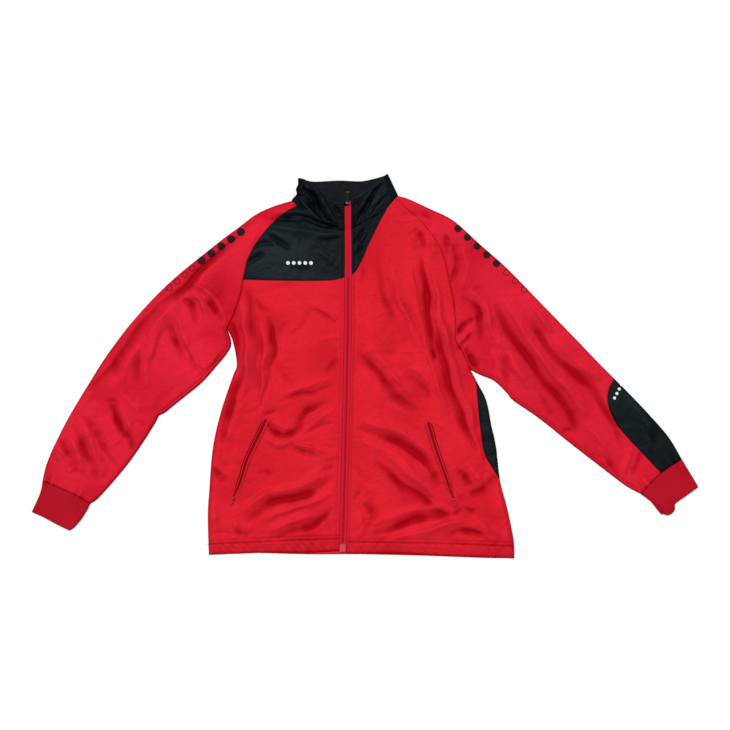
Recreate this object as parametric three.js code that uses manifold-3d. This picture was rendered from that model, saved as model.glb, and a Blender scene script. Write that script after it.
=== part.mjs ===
// Zip track jacket with raglan sleeves, lying flat on its back on a table.
// Millimetres, +Z up off the table, +Y towards the collar, origin under the middle of the jacket.
// "right" and "left" are the wearer's, so the right side is at -X.

import * as THREE from 'three';
import { mergeVertices } from 'three/addons/utils/BufferGeometryUtils.js';
import Module from 'manifold-3d';

// Driving sizes
const CLOTH = 1.2; // tricot wall
const RIB = 2.0; // doubled collar and knitted cuffs
const TAPE = 1.0; // woven zip tape
const SEAM = 0.3; // gap between pieces that are sewn together
const LOFT = 6.2; // top face of the upper layer over flat ground
const RIM = 3.0; // top face where two layers are pinched together at a side seam
const RIM_REACH = 11; // how far in from such an edge the upper layer has risen to its loft
const ROLL = 5; // how far in from a folded edge the cloth starts to turn under
const COLLAR_RISE = 5.5; // how much the front collar lifts from the neck seam to its top edge
const ZIP_HALF = 7.2; // half the strip of zip that shows between the fronts
const COIL_HALF = 2.9; // half the width of the closed coil
const UNDERLAP = 46; // how far the side panel runs under the jacket

// Colours
const RED = 0xdb2032;
const RIB_RED = 0xb81c2c;
const BLACK = 0x1a2226;
const METAL = 0x2a2a2c;
const RED_METAL = 0xc8303c;
const PALE_RED = 0xe0606a;

// Curves: each row is x, y. A repeated row is a sharp corner.
const ZIP_LINE = [[-45, -384], [-44.4, -359], [-40, -200], [-37, -69], [-34, 80], [-33.6, 181],
  [-33.6, 231], [-34.6, 331]];

const SIDE_RIGHT = [[-313, -378], [-315, -300], [-312, -249], [-305, -165], [-289, -93], [-265, -21],
  [-257, 3], [-264, 46], [-276, 75]];
const RAGLAN_LOW_RIGHT = [[-276, 75], [-261, 109], [-249, 145], [-244, 173]];
const RAGLAN_HIGH_RIGHT = [[-244, 173], [-234.5, 213], [-218, 245], [-193, 277.5], [-165, 304],
  [-136, 321]];
const UNDERARM_RIGHT = [[-551, -276], [-531, -261], [-479, -201], [-445, -153], [-421, -115], [-409, -93],
  [-371, -69], [-327, -33], [-295, 3], [-277, 25], [-268, 45], [-276, 75]];
const SHOULDER_RIGHT = [[-646, -231], [-635, -189], [-601, -117], [-559, -45], [-513, 27], [-457, 99],
  [-387, 171], [-299, 243], [-251, 279], [-219, 303], [-185, 319], [-146, 331]];

const SIDE_LEFT = [[299, -385.1], [298, -350], [285, -285], [271, -232], [263, -165], [253, -117],
  [243, -69], [225, -33], [212, -8]];
const SIDE_SEAM_LEFT = [[299, -385.1], [298, -350], [285, -285], [272, -235], [255, -204], [239, -174],
  [229.5, -113], [225, -63], [221.8, -33], [212, -8]];
const RAGLAN_LEFT = [[212, -8], [205, 9], [193, 32], [181, 52], [181.8, 79], [176, 137], [169, 167],
  [163, 199], [151, 235], [131, 267], [107, 295], [83, 313.6], [64, 325.5]];
const UNDERARM_LEFT = [[552, -256], [521, -239], [471, -201], [409, -153], [349, -105], [297, -69],
  [285, -55], [259, -30], [229, -17], [212, -8]];
const SHOULDER_LEFT = [[634.5, -187], [607, -141], [565, -93], [519, -45], [471, 3], [425, 51],
  [355, 123], [285, 195], [231, 243], [177, 291], [129, 315], [95, 328.4], [66, 338]];

const NECK_RIGHT = [[-42, 270], [-63.6, 276], [-85.6, 287], [-107.6, 300], [-129.6, 316.5], [-136, 321]];
const NECK_LEFT = [[-25, 274.5], [2.4, 289.4], [24.4, 301], [42, 313], [54, 324.5]];
const YOKE_FOOT_RIGHT = [[-41.2, 177.5], [-72, 171.4], [-150, 170.5], [-244, 173]];
const YOKE_EDGE_LEFT = [[-26.4, 181.8], [-17, 192], [-3, 219], [7, 243], [19, 267], [31, 291], [43, 311]];

const CUFF_SEAM_RIGHT = [[-551, -276], [-571, -263], [-587, -255], [-609, -245], [-627, -237],
  [-646, -231]];
const CUFF_END_RIGHT = [[-592, -329], [-611, -320], [-630, -310], [-649, -300], [-667.5, -292.4]];
const CUFF_INNER_RIGHT = [[-551, -276], [-558, -290], [-569, -307], [-581, -321], [-592, -329]];
const CUFF_OUTER_RIGHT = [[-646, -231], [-650, -252], [-658, -272], [-667.5, -292.4]];
const CUFF_SEAM_LEFT = [[552, -256], [570, -236], [590, -217], [612, -201], [634.5, -187]];
const CUFF_END_LEFT = [[594, -290], [600, -297], [608, -298.4], [615.8, -294], [620.5, -286], [621, -275.6],
  [645, -258], [668, -241.4]];
const CUFF_INNER_LEFT = [[552, -256], [572, -268], [585, -281], [594, -290]];
const CUFF_OUTER_LEFT = [[634.5, -187], [651, -213], [668, -241.4]];

const INSET_EDGE = [[512, -6], [498.8, -25.8], [488.8, -45], [485.4, -65], [488.8, -86.2], [501.6, -113],
  [521, -138], [555, -174.6], [604, -226]];

const POCKET_RIGHT = [[-199, -106], [-223, -157], [-238, -190], [-252, -236], [-264, -262]];
const POCKET_LEFT = [[128, -112], [143, -165], [156, -202], [168, -238], [177, -264]];

// Collar: its top edge in front, and its foot and top edge round the two folds and the back.
const COLLAR_EDGE_RIGHT = [[-41.5, 329], [-57, 330], [-75, 335], [-88, 346], [-101, 362], [-122, 373.5]];
const COLLAR_EDGE_LEFT = [[-26.5, 336], [-14, 343], [4, 351], [20, 364], [36, 378]];
const COLLAR_BACK = [
  { foot: [-141, 327], edge: [-130, 375.5], height: 5.2 },
  { foot: [-145, 332], edge: [-134, 376], height: 3.4 },
  { foot: [-142, 330], edge: [-130, 375.5], height: 1.6 },
  { foot: [-132, 326], edge: [-120, 373.5], height: 1 },
  { foot: [-90, 322], edge: [-101, 371], height: 1 },
  { foot: [-45, 321], edge: [-60, 370], height: 1 },
  { foot: [5, 323], edge: [-8, 372], height: 1 },
  { foot: [46, 328], edge: [30, 378.5], height: 1 },
  { foot: [59, 334], edge: [42, 383], height: 1.6 },
  { foot: [64, 339], edge: [45.5, 384.8], height: 3.4 },
  { foot: [60, 333], edge: [41.5, 382], height: 5.2 },
];

// Folds of the upper layer: from x0, y0 to x1, y1, bowed sideways, with half width and rise in mm.
const FOLDS = [
  // zip line
  { x0: -34, y0: 340, x1: -34, y1: -10, bow: 1, width: 16, rise: 0.9 },
  { x0: -36, y0: 10, x1: -46, y1: -400, bow: 0, width: 16, rise: 0.9 },
  // right front
  { x0: -232, y0: 110, x1: -216, y1: -70, bow: 8, width: 12, rise: -2.9 },
  { x0: -262, y0: 76, x1: -250, y1: -150, bow: -14, width: 17, rise: 5.3 },
  { x0: -203, y0: 60, x1: -218, y1: -110, bow: -6, width: 13, rise: 4.3 },
  { x0: -190, y0: 90, x1: -206, y1: -90, bow: -8, width: 10, rise: -2.3 },
  { x0: -140, y0: -92, x1: -52, y1: -36, bow: -3, width: 9, rise: -3.1 },
  { x0: -200, y0: -112, x1: -150, y1: -116, bow: 14, width: 11, rise: -3.4 },
  { x0: -150, y0: -160, x1: -84, y1: -188, bow: 3, width: 11, rise: -2.9 },
  { x0: -236, y0: -316, x1: -52, y1: -214, bow: -8, width: 13, rise: -3.6 },
  { x0: -226, y0: -290, x1: -60, y1: -196, bow: -8, width: 15, rise: 4.7 },
  { x0: -186, y0: -342, x1: -62, y1: -300, bow: 4, width: 10, rise: -3.4 },
  { x0: -250, y0: -322, x1: -62, y1: -262, bow: 0, width: 13, rise: 3.7 },
  { x0: -304, y0: -206, x1: -276, y1: -232, bow: 0, width: 8, rise: -2.6 },
  // right yoke and collar
  { x0: -182, y0: 300, x1: -56, y1: 276, bow: 7, width: 9, rise: -3.4 },
  { x0: -196, y0: 258, x1: -148, y1: 236, bow: -4, width: 9, rise: -2.6 },
  { x0: -240, y0: 184, x1: -188, y1: 218, bow: 4, width: 9, rise: -2.6 },
  { x0: -170, y0: 214, x1: -70, y1: 244, bow: 0, width: 22, rise: 3.1 },
  { x0: -122, y0: 346, x1: -70, y1: 286, bow: -5, width: 7, rise: -3.9 },
  { x0: -108, y0: 352, x1: -52, y1: 292, bow: -8, width: 9, rise: 5.3 },
  // left front
  { x0: 112, y0: 215, x1: 232, y1: -176, bow: 18, width: 14, rise: -4.2 },
  { x0: 140, y0: 190, x1: 226, y1: -70, bow: 8, width: 16, rise: 5.3 },
  { x0: 30, y0: 225, x1: 62, y1: 108, bow: 6, width: 14, rise: -2.3 },
  { x0: 78, y0: 186, x1: 124, y1: 38, bow: 4, width: 13, rise: -2.3 },
  { x0: -14, y0: 32, x1: 104, y1: -88, bow: 8, width: 13, rise: -3.1 },
  { x0: 10, y0: 44, x1: 112, y1: -56, bow: 8, width: 15, rise: 3.4 },
  { x0: -22, y0: -128, x1: 146, y1: -232, bow: -14, width: 14, rise: -3.9 },
  { x0: -4, y0: -106, x1: 124, y1: -160, bow: -8, width: 15, rise: 3.7 },
  { x0: 22, y0: -190, x1: 160, y1: -292, bow: -8, width: 12, rise: -3.1 },
  { x0: 16, y0: -344, x1: 196, y1: -290, bow: -6, width: 13, rise: -3.1 },
  { x0: 20, y0: -318, x1: 190, y1: -262, bow: -6, width: 14, rise: 3.7 },
  { x0: 158, y0: -348, x1: 250, y1: -348, bow: 16, width: 12, rise: -3.1 },
  { x0: 110, y0: 276, x1: 122, y1: 214, bow: -4, width: 11, rise: -2.9 },
  // left collar
  { x0: -16, y0: 288, x1: 44, y1: 362, bow: 5, width: 7, rise: -3.4 },
  { x0: 6, y0: 300, x1: 52, y1: 356, bow: 5, width: 8, rise: 3.7 },
  // right sleeve
  { x0: -238, y0: 268, x1: -560, y1: -60, bow: 26, width: 12, rise: -3.6 },
  { x0: -262, y0: 214, x1: -530, y1: -60, bow: 16, width: 24, rise: 5.6 },
  { x0: -344, y0: 166, x1: -278, y1: 70, bow: 12, width: 9, rise: 6.2 },
  { x0: -322, y0: 134, x1: -290, y1: 84, bow: 4, width: 11, rise: -3.9 },
  { x0: -404, y0: 96, x1: -346, y1: -28, bow: 6, width: 11, rise: -3.6 },
  { x0: -430, y0: 84, x1: -462, y1: -42, bow: 8, width: 12, rise: -2.9 },
  { x0: -502, y0: -96, x1: -466, y1: -168, bow: 2, width: 9, rise: -3.9 },
  { x0: -565, y0: -140, x1: -540, y1: -224, bow: 4, width: 9, rise: -3.4 },
  { x0: -588, y0: -146, x1: -566, y1: -232, bow: 4, width: 10, rise: 4 },
  { x0: -604, y0: -184, x1: -580, y1: -216, bow: 2, width: 8, rise: -2.9 },
  // left sleeve
  { x0: 256, y0: 128, x1: 420, y1: -134, bow: 14, width: 12, rise: -4.2 },
  { x0: 300, y0: 130, x1: 516, y1: -170, bow: 16, width: 13, rise: -3.9 },
  { x0: 276, y0: 132, x1: 468, y1: -150, bow: 15, width: 15, rise: 5.3 },
  { x0: 340, y0: 118, x1: 560, y1: -160, bow: 14, width: 20, rise: 5 },
  { x0: 192, y0: 142, x1: 236, y1: 50, bow: 9, width: 11, rise: -3.4 },
  { x0: 262, y0: 70, x1: 290, y1: -50, bow: 4, width: 10, rise: -3.4 },
  { x0: 186, y0: 60, x1: 226, y1: 92, bow: 0, width: 8, rise: -3.1 },
  { x0: 178, y0: 236, x1: 178, y1: 164, bow: 0, width: 9, rise: -2.6 },
  { x0: 534, y0: -214, x1: 548, y1: -168, bow: 3, width: 8, rise: -3.1 },
  // knitted cuffs
  { x0: -560, y0: -268, x1: -652, y1: -236, bow: -2, width: 9, rise: -1.2 },
  { x0: 556, y0: -246, x1: 640, y1: -190, bow: -3, width: 9, rise: -1.2 },
];

// Smooth curve through a table's rows, as a function of the share of its length.
function along(table) {
  const PARTS = 10;
  const spot = (i) => table[Math.min(Math.max(i, 0), table.length - 1)];
  const points = [];
  for (let i = 0; i < table.length - 1; i += 1) {
    const [before, from, to, after] = [spot(i - 1), spot(i), spot(i + 1), spot(i + 2)];
    for (let k = 0; k < PARTS; k += 1) {
      const t = k / PARTS;
      points.push(from.map((p1, axis) => {
        const p0 = before[axis];
        const p2 = to[axis];
        const p3 = after[axis];
        const bend = 2 * p0 - 5 * p1 + 4 * p2 - p3;
        const turn = 3 * (p1 - p2) + p3 - p0;
        return 0.5 * (2 * p1 + (p2 - p0) * t + bend * t * t + turn * t * t * t);
      }));
    }
  }
  points.push([...spot(table.length - 1)]);
  const reach = [0];
  for (let i = 1; i < points.length; i += 1) {
    reach.push(reach[i - 1] + Math.hypot(points[i][0] - points[i - 1][0], points[i][1] - points[i - 1][1]));
  }
  const total = reach[reach.length - 1];
  const curve = (share) => {
    const goal = Math.min(Math.max(share, 0), 1) * total;
    let i = 1;
    while (i < reach.length - 1 && reach[i] < goal) i += 1;
    const step = (goal - reach[i - 1]) / (reach[i] - reach[i - 1] || 1);
    return points[i].map((value, axis) => points[i - 1][axis] + (value - points[i - 1][axis]) * step);
  };
  curve.points = points;
  return curve;
}

// Points at equal steps along a smooth curve. Pieces that are sewn together share them.
function stations(table, steps) {
  const curve = along(table);
  return Array.from({ length: steps + 1 }, (_, i) => curve(i / steps));
}

// Lists of stations that follow on from each other, as one list.
const joined = (...lists) => lists.reduce((whole, list) => [...whole, ...list.slice(1)]);

const reversed = (list) => [...list].reverse();

// Place across the jacket of the zip's centre line.
function zipX(y) {
  let i = 1;
  while (i < ZIP_LINE.length - 1 && ZIP_LINE[i][1] < y) i += 1;
  const [x0, y0] = ZIP_LINE[i - 1];
  const [x1, y1] = ZIP_LINE[i];
  return x0 + ((x1 - x0) * (y - y0)) / (y1 - y0);
}

// Edge of a front beside the zip, on one side (-1 right, 1 left), between two heights.
function zipEdge(side, low, high, steps) {
  return Array.from({ length: steps + 1 }, (_, i) => {
    const y = low + ((high - low) * i) / steps;
    return [zipX(y) + side * ZIP_HALF, y];
  });
}

// Place across the jacket of a side seam, at a height.
function seamX(table, y) {
  const points = along(table).points;
  const i = Math.max(points.findIndex((point) => point[1] > y), 1);
  const [x0, y0] = points[i - 1];
  const [x1, y1] = points[i];
  return x0 + ((x1 - x0) * (y - y0)) / (y1 - y0);
}

// Rise or fall that one fold gives at a point.
function foldAt({ x0, y0, x1, y1, bow, width, rise }, x, y) {
  const length = Math.hypot(x1 - x0, y1 - y0);
  const share = ((x - x0) * (x1 - x0) + (y - y0) * (y1 - y0)) / length ** 2;
  if (share <= 0 || share >= 1) return 0;
  const across = ((x - x0) * (y1 - y0) - (y - y0) * (x1 - x0)) / length - bow * 4 * share * (1 - share);
  if (Math.abs(across) > 3 * width) return 0;
  return rise * (1 - (2 * share - 1) ** 4) * Math.exp(-((across / width) ** 2));
}

// Seamed edges, where the upper layer comes down to the lower one.
const rims = [SIDE_RIGHT, UNDERARM_RIGHT, UNDERARM_LEFT, SIDE_LEFT.slice(0, 4)]
  .map((table) => along(table).points);

function rimDistance(x, y) {
  let nearest = Infinity;
  for (const points of rims) {
    for (let i = 1; i < points.length; i += 1) {
      const [ax, ay] = points[i - 1];
      const [bx, by] = points[i];
      const span = (bx - ax) ** 2 + (by - ay) ** 2 || 1;
      const share = Math.min(Math.max(((x - ax) * (bx - ax) + (y - ay) * (by - ay)) / span, 0), 1);
      nearest = Math.min(nearest, Math.hypot(x - ax - share * (bx - ax), y - ay - share * (by - ay)));
    }
  }
  return nearest;
}

// Height of the upper layer's top face.
function topFace(x, y) {
  const swell = FOLDS.reduce((sum, fold) => sum + foldAt(fold, x, y), LOFT - RIM);
  const height = RIM + 0.5 * (swell + Math.hypot(swell, 1.2));
  const away = Math.min(rimDistance(x, y) / RIM_REACH, 1);
  return RIM + (height - RIM) * Math.sqrt(1 - (1 - away) ** 2);
}

// Plan grid between four lists of stations. low and high run across, near and far run from low to high.
function patch(low, high, near, far) {
  const [cols, rows] = [low.length - 1, near.length - 1];
  return near.map((_, i) => low.map((__, j) => {
    const [u, v] = [j / cols, i / rows];
    return [0, 1].map((axis) => {
      const ruled = (1 - v) * low[j][axis] + v * high[j][axis] + (1 - u) * near[i][axis] + u * far[i][axis];
      const flat = (1 - v) * ((1 - u) * low[0][axis] + u * low[cols][axis])
        + v * ((1 - u) * high[0][axis] + u * high[cols][axis]);
      return ruled - flat;
    });
  }));
}

// Grid with its outer rows and columns drawn in by half a seam's gap.
function drawnIn(grid) {
  const [rows, cols] = [grid.length - 1, grid[0].length - 1];
  const step = (from, to) => {
    const length = Math.hypot(to[0] - from[0], to[1] - from[1]);
    return [0, 1].map((axis) => ((to[axis] - from[axis]) / length) * SEAM * 0.7);
  };
  return grid.map((row, i) => row.map((spot, j) => {
    const moves = [];
    if (j === 0) moves.push(step(spot, row[1]));
    if (j === cols) moves.push(step(spot, row[cols - 1]));
    if (i === 0) moves.push(step(spot, grid[1][j]));
    if (i === rows) moves.push(step(spot, grid[rows - 1][j]));
    return moves.reduce(([x, y], [dx, dy]) => [x + dx, y + dy], spot);
  }));
}

// Closed wall from a grid of points on its middle surface.
function wall(grid, thickness) {
  const rows = grid.length;
  const cols = grid[0].length;
  const at = (i, j) => grid[Math.min(Math.max(i, 0), rows - 1)][Math.min(Math.max(j, 0), cols - 1)];
  const positions = [];
  for (const face of [0.5, -0.5]) {
    for (let i = 0; i < rows; i += 1) {
      for (let j = 0; j < cols; j += 1) {
        const across = at(i, j + 1).clone().sub(at(i, j - 1));
        const up = at(i + 1, j).clone().sub(at(i - 1, j));
        const normal = across.cross(up).normalize();
        positions.push(...at(i, j).clone().addScaledVector(normal, face * thickness).toArray());
      }
    }
  }
  const index = [];
  const quad = (a, b, c, d) => index.push(a, b, c, a, c, d);
  const top = (i, j) => i * cols + j;
  const under = (i, j) => rows * cols + i * cols + j;
  for (let i = 0; i < rows - 1; i += 1) {
    for (let j = 0; j < cols - 1; j += 1) {
      quad(top(i, j), top(i, j + 1), top(i + 1, j + 1), top(i + 1, j));
      quad(under(i, j), under(i + 1, j), under(i + 1, j + 1), under(i, j + 1));
    }
  }
  for (let i = 0; i < rows - 1; i += 1) {
    quad(top(i, 0), top(i + 1, 0), under(i + 1, 0), under(i, 0));
    quad(top(i + 1, cols - 1), top(i, cols - 1), under(i, cols - 1), under(i + 1, cols - 1));
  }
  for (let j = 0; j < cols - 1; j += 1) {
    quad(top(0, j + 1), top(0, j), under(0, j), under(0, j + 1));
    quad(top(rows - 1, j), top(rows - 1, j + 1), under(rows - 1, j + 1), under(rows - 1, j));
  }
  const geometry = new THREE.BufferGeometry();
  geometry.setAttribute('position', new THREE.Float32BufferAttribute(positions, 3));
  geometry.setIndex(index);
  return outward(geometry);
}

// Same geometry with its faces pointing out.
function outward(geometry) {
  const position = geometry.attributes.position;
  const index = geometry.index.array;
  const [a, b, c] = [new THREE.Vector3(), new THREE.Vector3(), new THREE.Vector3()];
  let volume = 0;
  for (let i = 0; i < index.length; i += 3) {
    a.fromBufferAttribute(position, index[i]);
    b.fromBufferAttribute(position, index[i + 1]);
    c.fromBufferAttribute(position, index[i + 2]);
    volume += a.dot(b.cross(c));
  }
  if (volume < 0) {
    for (let i = 0; i < index.length; i += 3) [index[i], index[i + 1]] = [index[i + 1], index[i]];
  }
  geometry.computeVertexNormals();
  return geometry;
}

// Upper layer of a front or yoke, from its four edges.
function upperLayer({ low, high, near, far }) {
  const grid = drawnIn(patch(low, high, near, far));
  const middle = ([x, y]) => new THREE.Vector3(x, y, topFace(x, y) - CLOTH / 2);
  return wall(grid.map((row) => row.map(middle)), CLOTH);
}

// Turn of a layer round a folded edge, from its upper to its lower run.
function rollPoints([x, y], [outX, outY], upperZ, lowerZ, reach) {
  const TURN = [60, 25, -10, -45];
  const middle = (upperZ + lowerZ) / 2;
  const half = (upperZ - lowerZ) / 2;
  return TURN.map((degrees) => {
    const angle = THREE.MathUtils.degToRad(degrees);
    const out = reach * Math.cos(angle);
    return new THREE.Vector3(x + outX * out, y + outY * out, middle + half * Math.sin(angle));
  });
}

// Unit vector from one plan point to another.
function heading([x0, y0], [x1, y1]) {
  const length = Math.hypot(x1 - x0, y1 - y0);
  return [(x1 - x0) / length, (y1 - y0) / length];
}

// Point at a share of the way along a row of plan points.
function onRow(row, share) {
  const at = Math.min(Math.max(share, 0), 1) * (row.length - 1);
  const i = Math.min(Math.floor(at), row.length - 2);
  return row[i].map((value, axis) => value + (row[i + 1][axis] - value) * (at - i));
}

// Sleeve: seam edge to outer fold over the top, round the fold and back along the table.
function sleeve({ seam, fold, foot, neck }) {
  const UNDER_COLS = 6;
  const plan = drawnIn(patch(foot, neck, seam, fold));
  const grid = plan.map((row) => {
    const last = row.length - 1;
    const [inner, outer] = [row[0], row[last]];
    const width = Math.hypot(outer[0] - inner[0], outer[1] - inner[1]);
    const reach = Math.min(ROLL, width / 4);
    const turnAt = 1 - reach / width;
    const topRow = row.map((_, j) => {
      const [x, y] = onRow(row, (turnAt * j) / last);
      return new THREE.Vector3(x, y, topFace(x, y) - CLOTH / 2);
    });
    const start = topRow[last];
    const out = heading([start.x, start.y], outer);
    const turn = rollPoints([start.x, start.y], out, start.z, CLOTH / 2, reach);
    const underRow = Array.from({ length: UNDER_COLS }, (_, j) => {
      const [x, y] = onRow(row, turnAt * (1 - j / (UNDER_COLS - 1)));
      return new THREE.Vector3(x, y, CLOTH / 2);
    });
    return [...topRow, ...turn, ...underRow];
  });
  return wall(grid, CLOTH);
}

// Knitted cuff: a flattened tube with its seam underneath, near the inner edge.
function cuff({ seam, end, inner, outer }) {
  const SEAM_AT = 0.12;
  const plan = drawnIn(patch(seam, end, inner, outer));
  const grid = plan.map((row) => {
    const last = row.length - 1;
    const [from, to] = [row[0], row[last]];
    const width = Math.hypot(to[0] - from[0], to[1] - from[1]);
    const turn = ROLL / width;
    const top = (u) => {
      const [x, y] = onRow(row, u);
      return new THREE.Vector3(x, y, topFace(x, y) - RIB / 2);
    };
    const under = (u) => new THREE.Vector3(...onRow(row, u), RIB / 2);
    const [near, far] = [top(turn), top(1 - turn)];
    const turned = ({ x, y, z }, edge) => rollPoints([x, y], heading([x, y], edge), z, RIB / 2, ROLL);
    return [
      under(SEAM_AT - SEAM / 2 / width),
      ...turned(near, from).reverse(),
      ...row.map((_, j) => top(turn + ((1 - 2 * turn) * j) / last)),
      ...turned(far, to),
      ...[1 - turn, 0.8, 0.6, 0.4, 0.25].map(under),
      under(SEAM_AT + SEAM / 2 / width),
    ];
  });
  return wall(grid, RIB);
}

// Stand collar: right front, round the right fold, back, round the left fold, left front.
function collar(neckRight, neckLeft) {
  const ROWS = 6;
  const COLLAR_START = 0.018; // share of the collar's height that clears the neck seam
  const front = (feet, edges) => feet.map((foot, i) => ({ foot, edge: edges[i], height: null }));
  const right = front(neckRight, stations(COLLAR_EDGE_RIGHT, neckRight.length - 1));
  const left = front(neckLeft, stations(COLLAR_EDGE_LEFT, neckLeft.length - 1));
  const band = [...right, ...COLLAR_BACK, ...reversed(left)];
  const grid = Array.from({ length: ROWS }, (_, i) => band.map(({ foot, edge, height }) => {
    const v = COLLAR_START + ((1 - COLLAR_START) * i) / (ROWS - 1);
    const [x, y] = [0, 1].map((axis) => foot[axis] + (edge[axis] - foot[axis]) * v);
    const rise = (height === null ? 1 : Math.max((height - 1) / 5, 0)) * COLLAR_RISE * v;
    const base = height === null ? topFace(x, y) - RIB / 2 : height;
    return new THREE.Vector3(x, y, base + rise);
  }));
  return wall(grid, RIB);
}

// Side panel: from its seam with the back, round the side fold, to its seam with the left front.
function sidePanel(outline, seam) {
  const COLS = 12;
  const grid = outline.map((edge, i) => {
    const front = seam[i];
    const shown = edge[0] - front[0];
    const tuck = Math.min(shown, ROLL);
    const upperZ = topFace(...front) - CLOTH / 2;
    const lowerZ = CLOTH / 2;
    const y = edge[1] + (i === 0 ? SEAM : 0) - (i === outline.length - 1 ? SEAM : 0);
    const path = [UNDERLAP - SEAM / 2, UNDERLAP / 2, ROLL]
      .map((reach) => new THREE.Vector3(edge[0] - reach, y, lowerZ));
    if (shown > 3) {
      const start = new THREE.Vector3(edge[0] - tuck, y, upperZ);
      path.push(...rollPoints([start.x, start.y], [1, 0], upperZ, lowerZ, tuck).reverse(), start);
      path.push(new THREE.Vector3(front[0] + SEAM, y, upperZ));
    } else {
      path.push(new THREE.Vector3(edge[0] - SEAM, y, lowerZ));
    }
    const chain = new THREE.CurvePath();
    for (let k = 1; k < path.length; k += 1) chain.add(new THREE.LineCurve3(path[k - 1], path[k]));
    return Array.from({ length: COLS }, (_, j) => chain.getPointAt(j / (COLS - 1)));
  });
  return wall(grid, CLOTH);
}

// Flat plate from an outline.
function plate(outline, base, thickness) {
  const shape = new THREE.Shape(outline.map(([x, y]) => new THREE.Vector2(x, y)));
  const geometry = new THREE.ExtrudeGeometry(shape, { depth: thickness, bevelEnabled: false });
  geometry.translate(0, 0, base);
  geometry.deleteAttribute('normal');
  geometry.deleteAttribute('uv');
  const merged = mergeVertices(geometry, 1e-4);
  merged.computeVertexNormals();
  return merged;
}

// Strip that follows plan points on the upper layer, with its profile as side offsets and heights.
function strip(centre, profile, thickness, lift = () => 0) {
  const last = centre.length - 1;
  const grid = centre.map((spot, i) => {
    const [dx, dy] = heading(centre[Math.max(i - 1, 0)], centre[Math.min(i + 1, last)]);
    return profile.map(([side, rise]) => {
      const [x, y] = [spot[0] + dy * side, spot[1] - dx * side];
      const ground = (topFace(...spot) + topFace(x, y)) / 2;
      return new THREE.Vector3(x, y, ground + rise + lift(spot[1]));
    });
  });
  return wall(grid, thickness);
}

// Height that the zip gains where it climbs the collar.
const ZIP_NECK = 272;
const collarLift = (y) => COLLAR_RISE * THREE.MathUtils.clamp((y - ZIP_NECK) / 60, 0, 1);

// Points down the middle of the zip, with one where it starts to climb.
function zipRun(low, high) {
  const [BELOW, ABOVE] = [26, 4];
  const body = Array.from({ length: BELOW }, (_, i) => low + ((ZIP_NECK - low) * i) / BELOW);
  const neck = Array.from({ length: ABOVE + 1 }, (_, i) => ZIP_NECK + ((high - ZIP_NECK) * i) / ABOVE);
  return [...body, ...neck].map((y) => [zipX(y), y]);
}

// Back panel's outline: hem, left side under the side panel, raglan seams and neck.
function backOutline() {
  const leftSide = sideLeft.map(([x, y]) => [x - UNDERLAP - SEAM / 2, y]);
  const leftRaglan = raglanLeft.map(([x, y]) => [x - SEAM, y - SEAM]).filter(([x]) => x > 58).slice(1);
  const neck = [[46, 323.5], [5, 320.5], [-45, 318.5], [-90, 319.5], [-130, 320]];
  const raglanRight = joined(raglanLowRight, raglanHighRight).map(([x, y]) => [x + SEAM, y - SEAM]);
  const rightSide = reversed(sideRight.map(([x, y]) => [x + 0.4, y])).slice(1);
  const hem = [[-213.8, -374.6], [-115, -377.5], [-9, -377], [120, -380]];
  return [...leftSide, ...leftRaglan, ...neck, ...reversed(raglanRight).slice(1), ...rightSide, ...hem];
}

// Solid for joins and cuts, and back.
const wasm = await Module();
wasm.setup();

function toSolid(geometry) {
  const bare = geometry.clone();
  bare.deleteAttribute('normal');
  bare.deleteAttribute('uv');
  const merged = mergeVertices(bare, 1e-5);
  return new wasm.Manifold(new wasm.Mesh({
    numProp: 3,
    vertProperties: new Float32Array(merged.attributes.position.array),
    triVerts: new Uint32Array(merged.index.array),
  }));
}

function fromSolid(solid) {
  const mesh = solid.getMesh();
  const geometry = new THREE.BufferGeometry();
  geometry.setAttribute('position', new THREE.Float32BufferAttribute(mesh.vertProperties, 3));
  geometry.setIndex([...mesh.triVerts]);
  geometry.computeVertexNormals();
  return geometry;
}

// Column over the forearm inset, drawn out or in by a margin.
function insetColumn(margin) {
  const edge = stations(INSET_EDGE, 14);
  const moved = edge.map(([x, y], i) => {
    const [dx, dy] = heading(edge[Math.max(i - 1, 0)], edge[Math.min(i + 1, edge.length - 1)]);
    return [x + dy * margin, y - dx * margin];
  });
  const beyond = [[720, -150], [640, 20]];
  return toSolid(plate([...moved, ...beyond], -4, 60));
}

// Pull tab lying along +Y from its hinge bar, which lies along X at the origin.
const BAR = { half: 3.2, radius: 0.7 };
const ARM = { inner: 1.9, start: 4.2 };

function pullTab(length, half) {
  const outline = new THREE.Shape();
  const { radius } = BAR;
  outline.moveTo(-half, -radius);
  outline.lineTo(half, -radius);
  outline.lineTo(half, length - half * 0.7);
  outline.quadraticCurveTo(half, length, half * 0.3, length);
  outline.lineTo(-half * 0.3, length);
  outline.quadraticCurveTo(-half, length, -half, length - half * 0.7);
  outline.closePath();
  const slot = new THREE.Path();
  slot.moveTo(-ARM.inner, radius);
  slot.lineTo(-ARM.inner, ARM.start);
  slot.lineTo(ARM.inner, ARM.start);
  slot.lineTo(ARM.inner, radius);
  slot.closePath();
  outline.holes.push(slot);
  const settings = { depth: 2 * radius, bevelEnabled: false, curveSegments: 4 };
  const geometry = new THREE.ExtrudeGeometry(outline, settings);
  geometry.translate(0, 0, -radius);
  geometry.deleteAttribute('normal');
  geometry.deleteAttribute('uv');
  const merged = mergeVertices(geometry, 1e-4);
  merged.computeVertexNormals();
  return merged;
}

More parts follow.
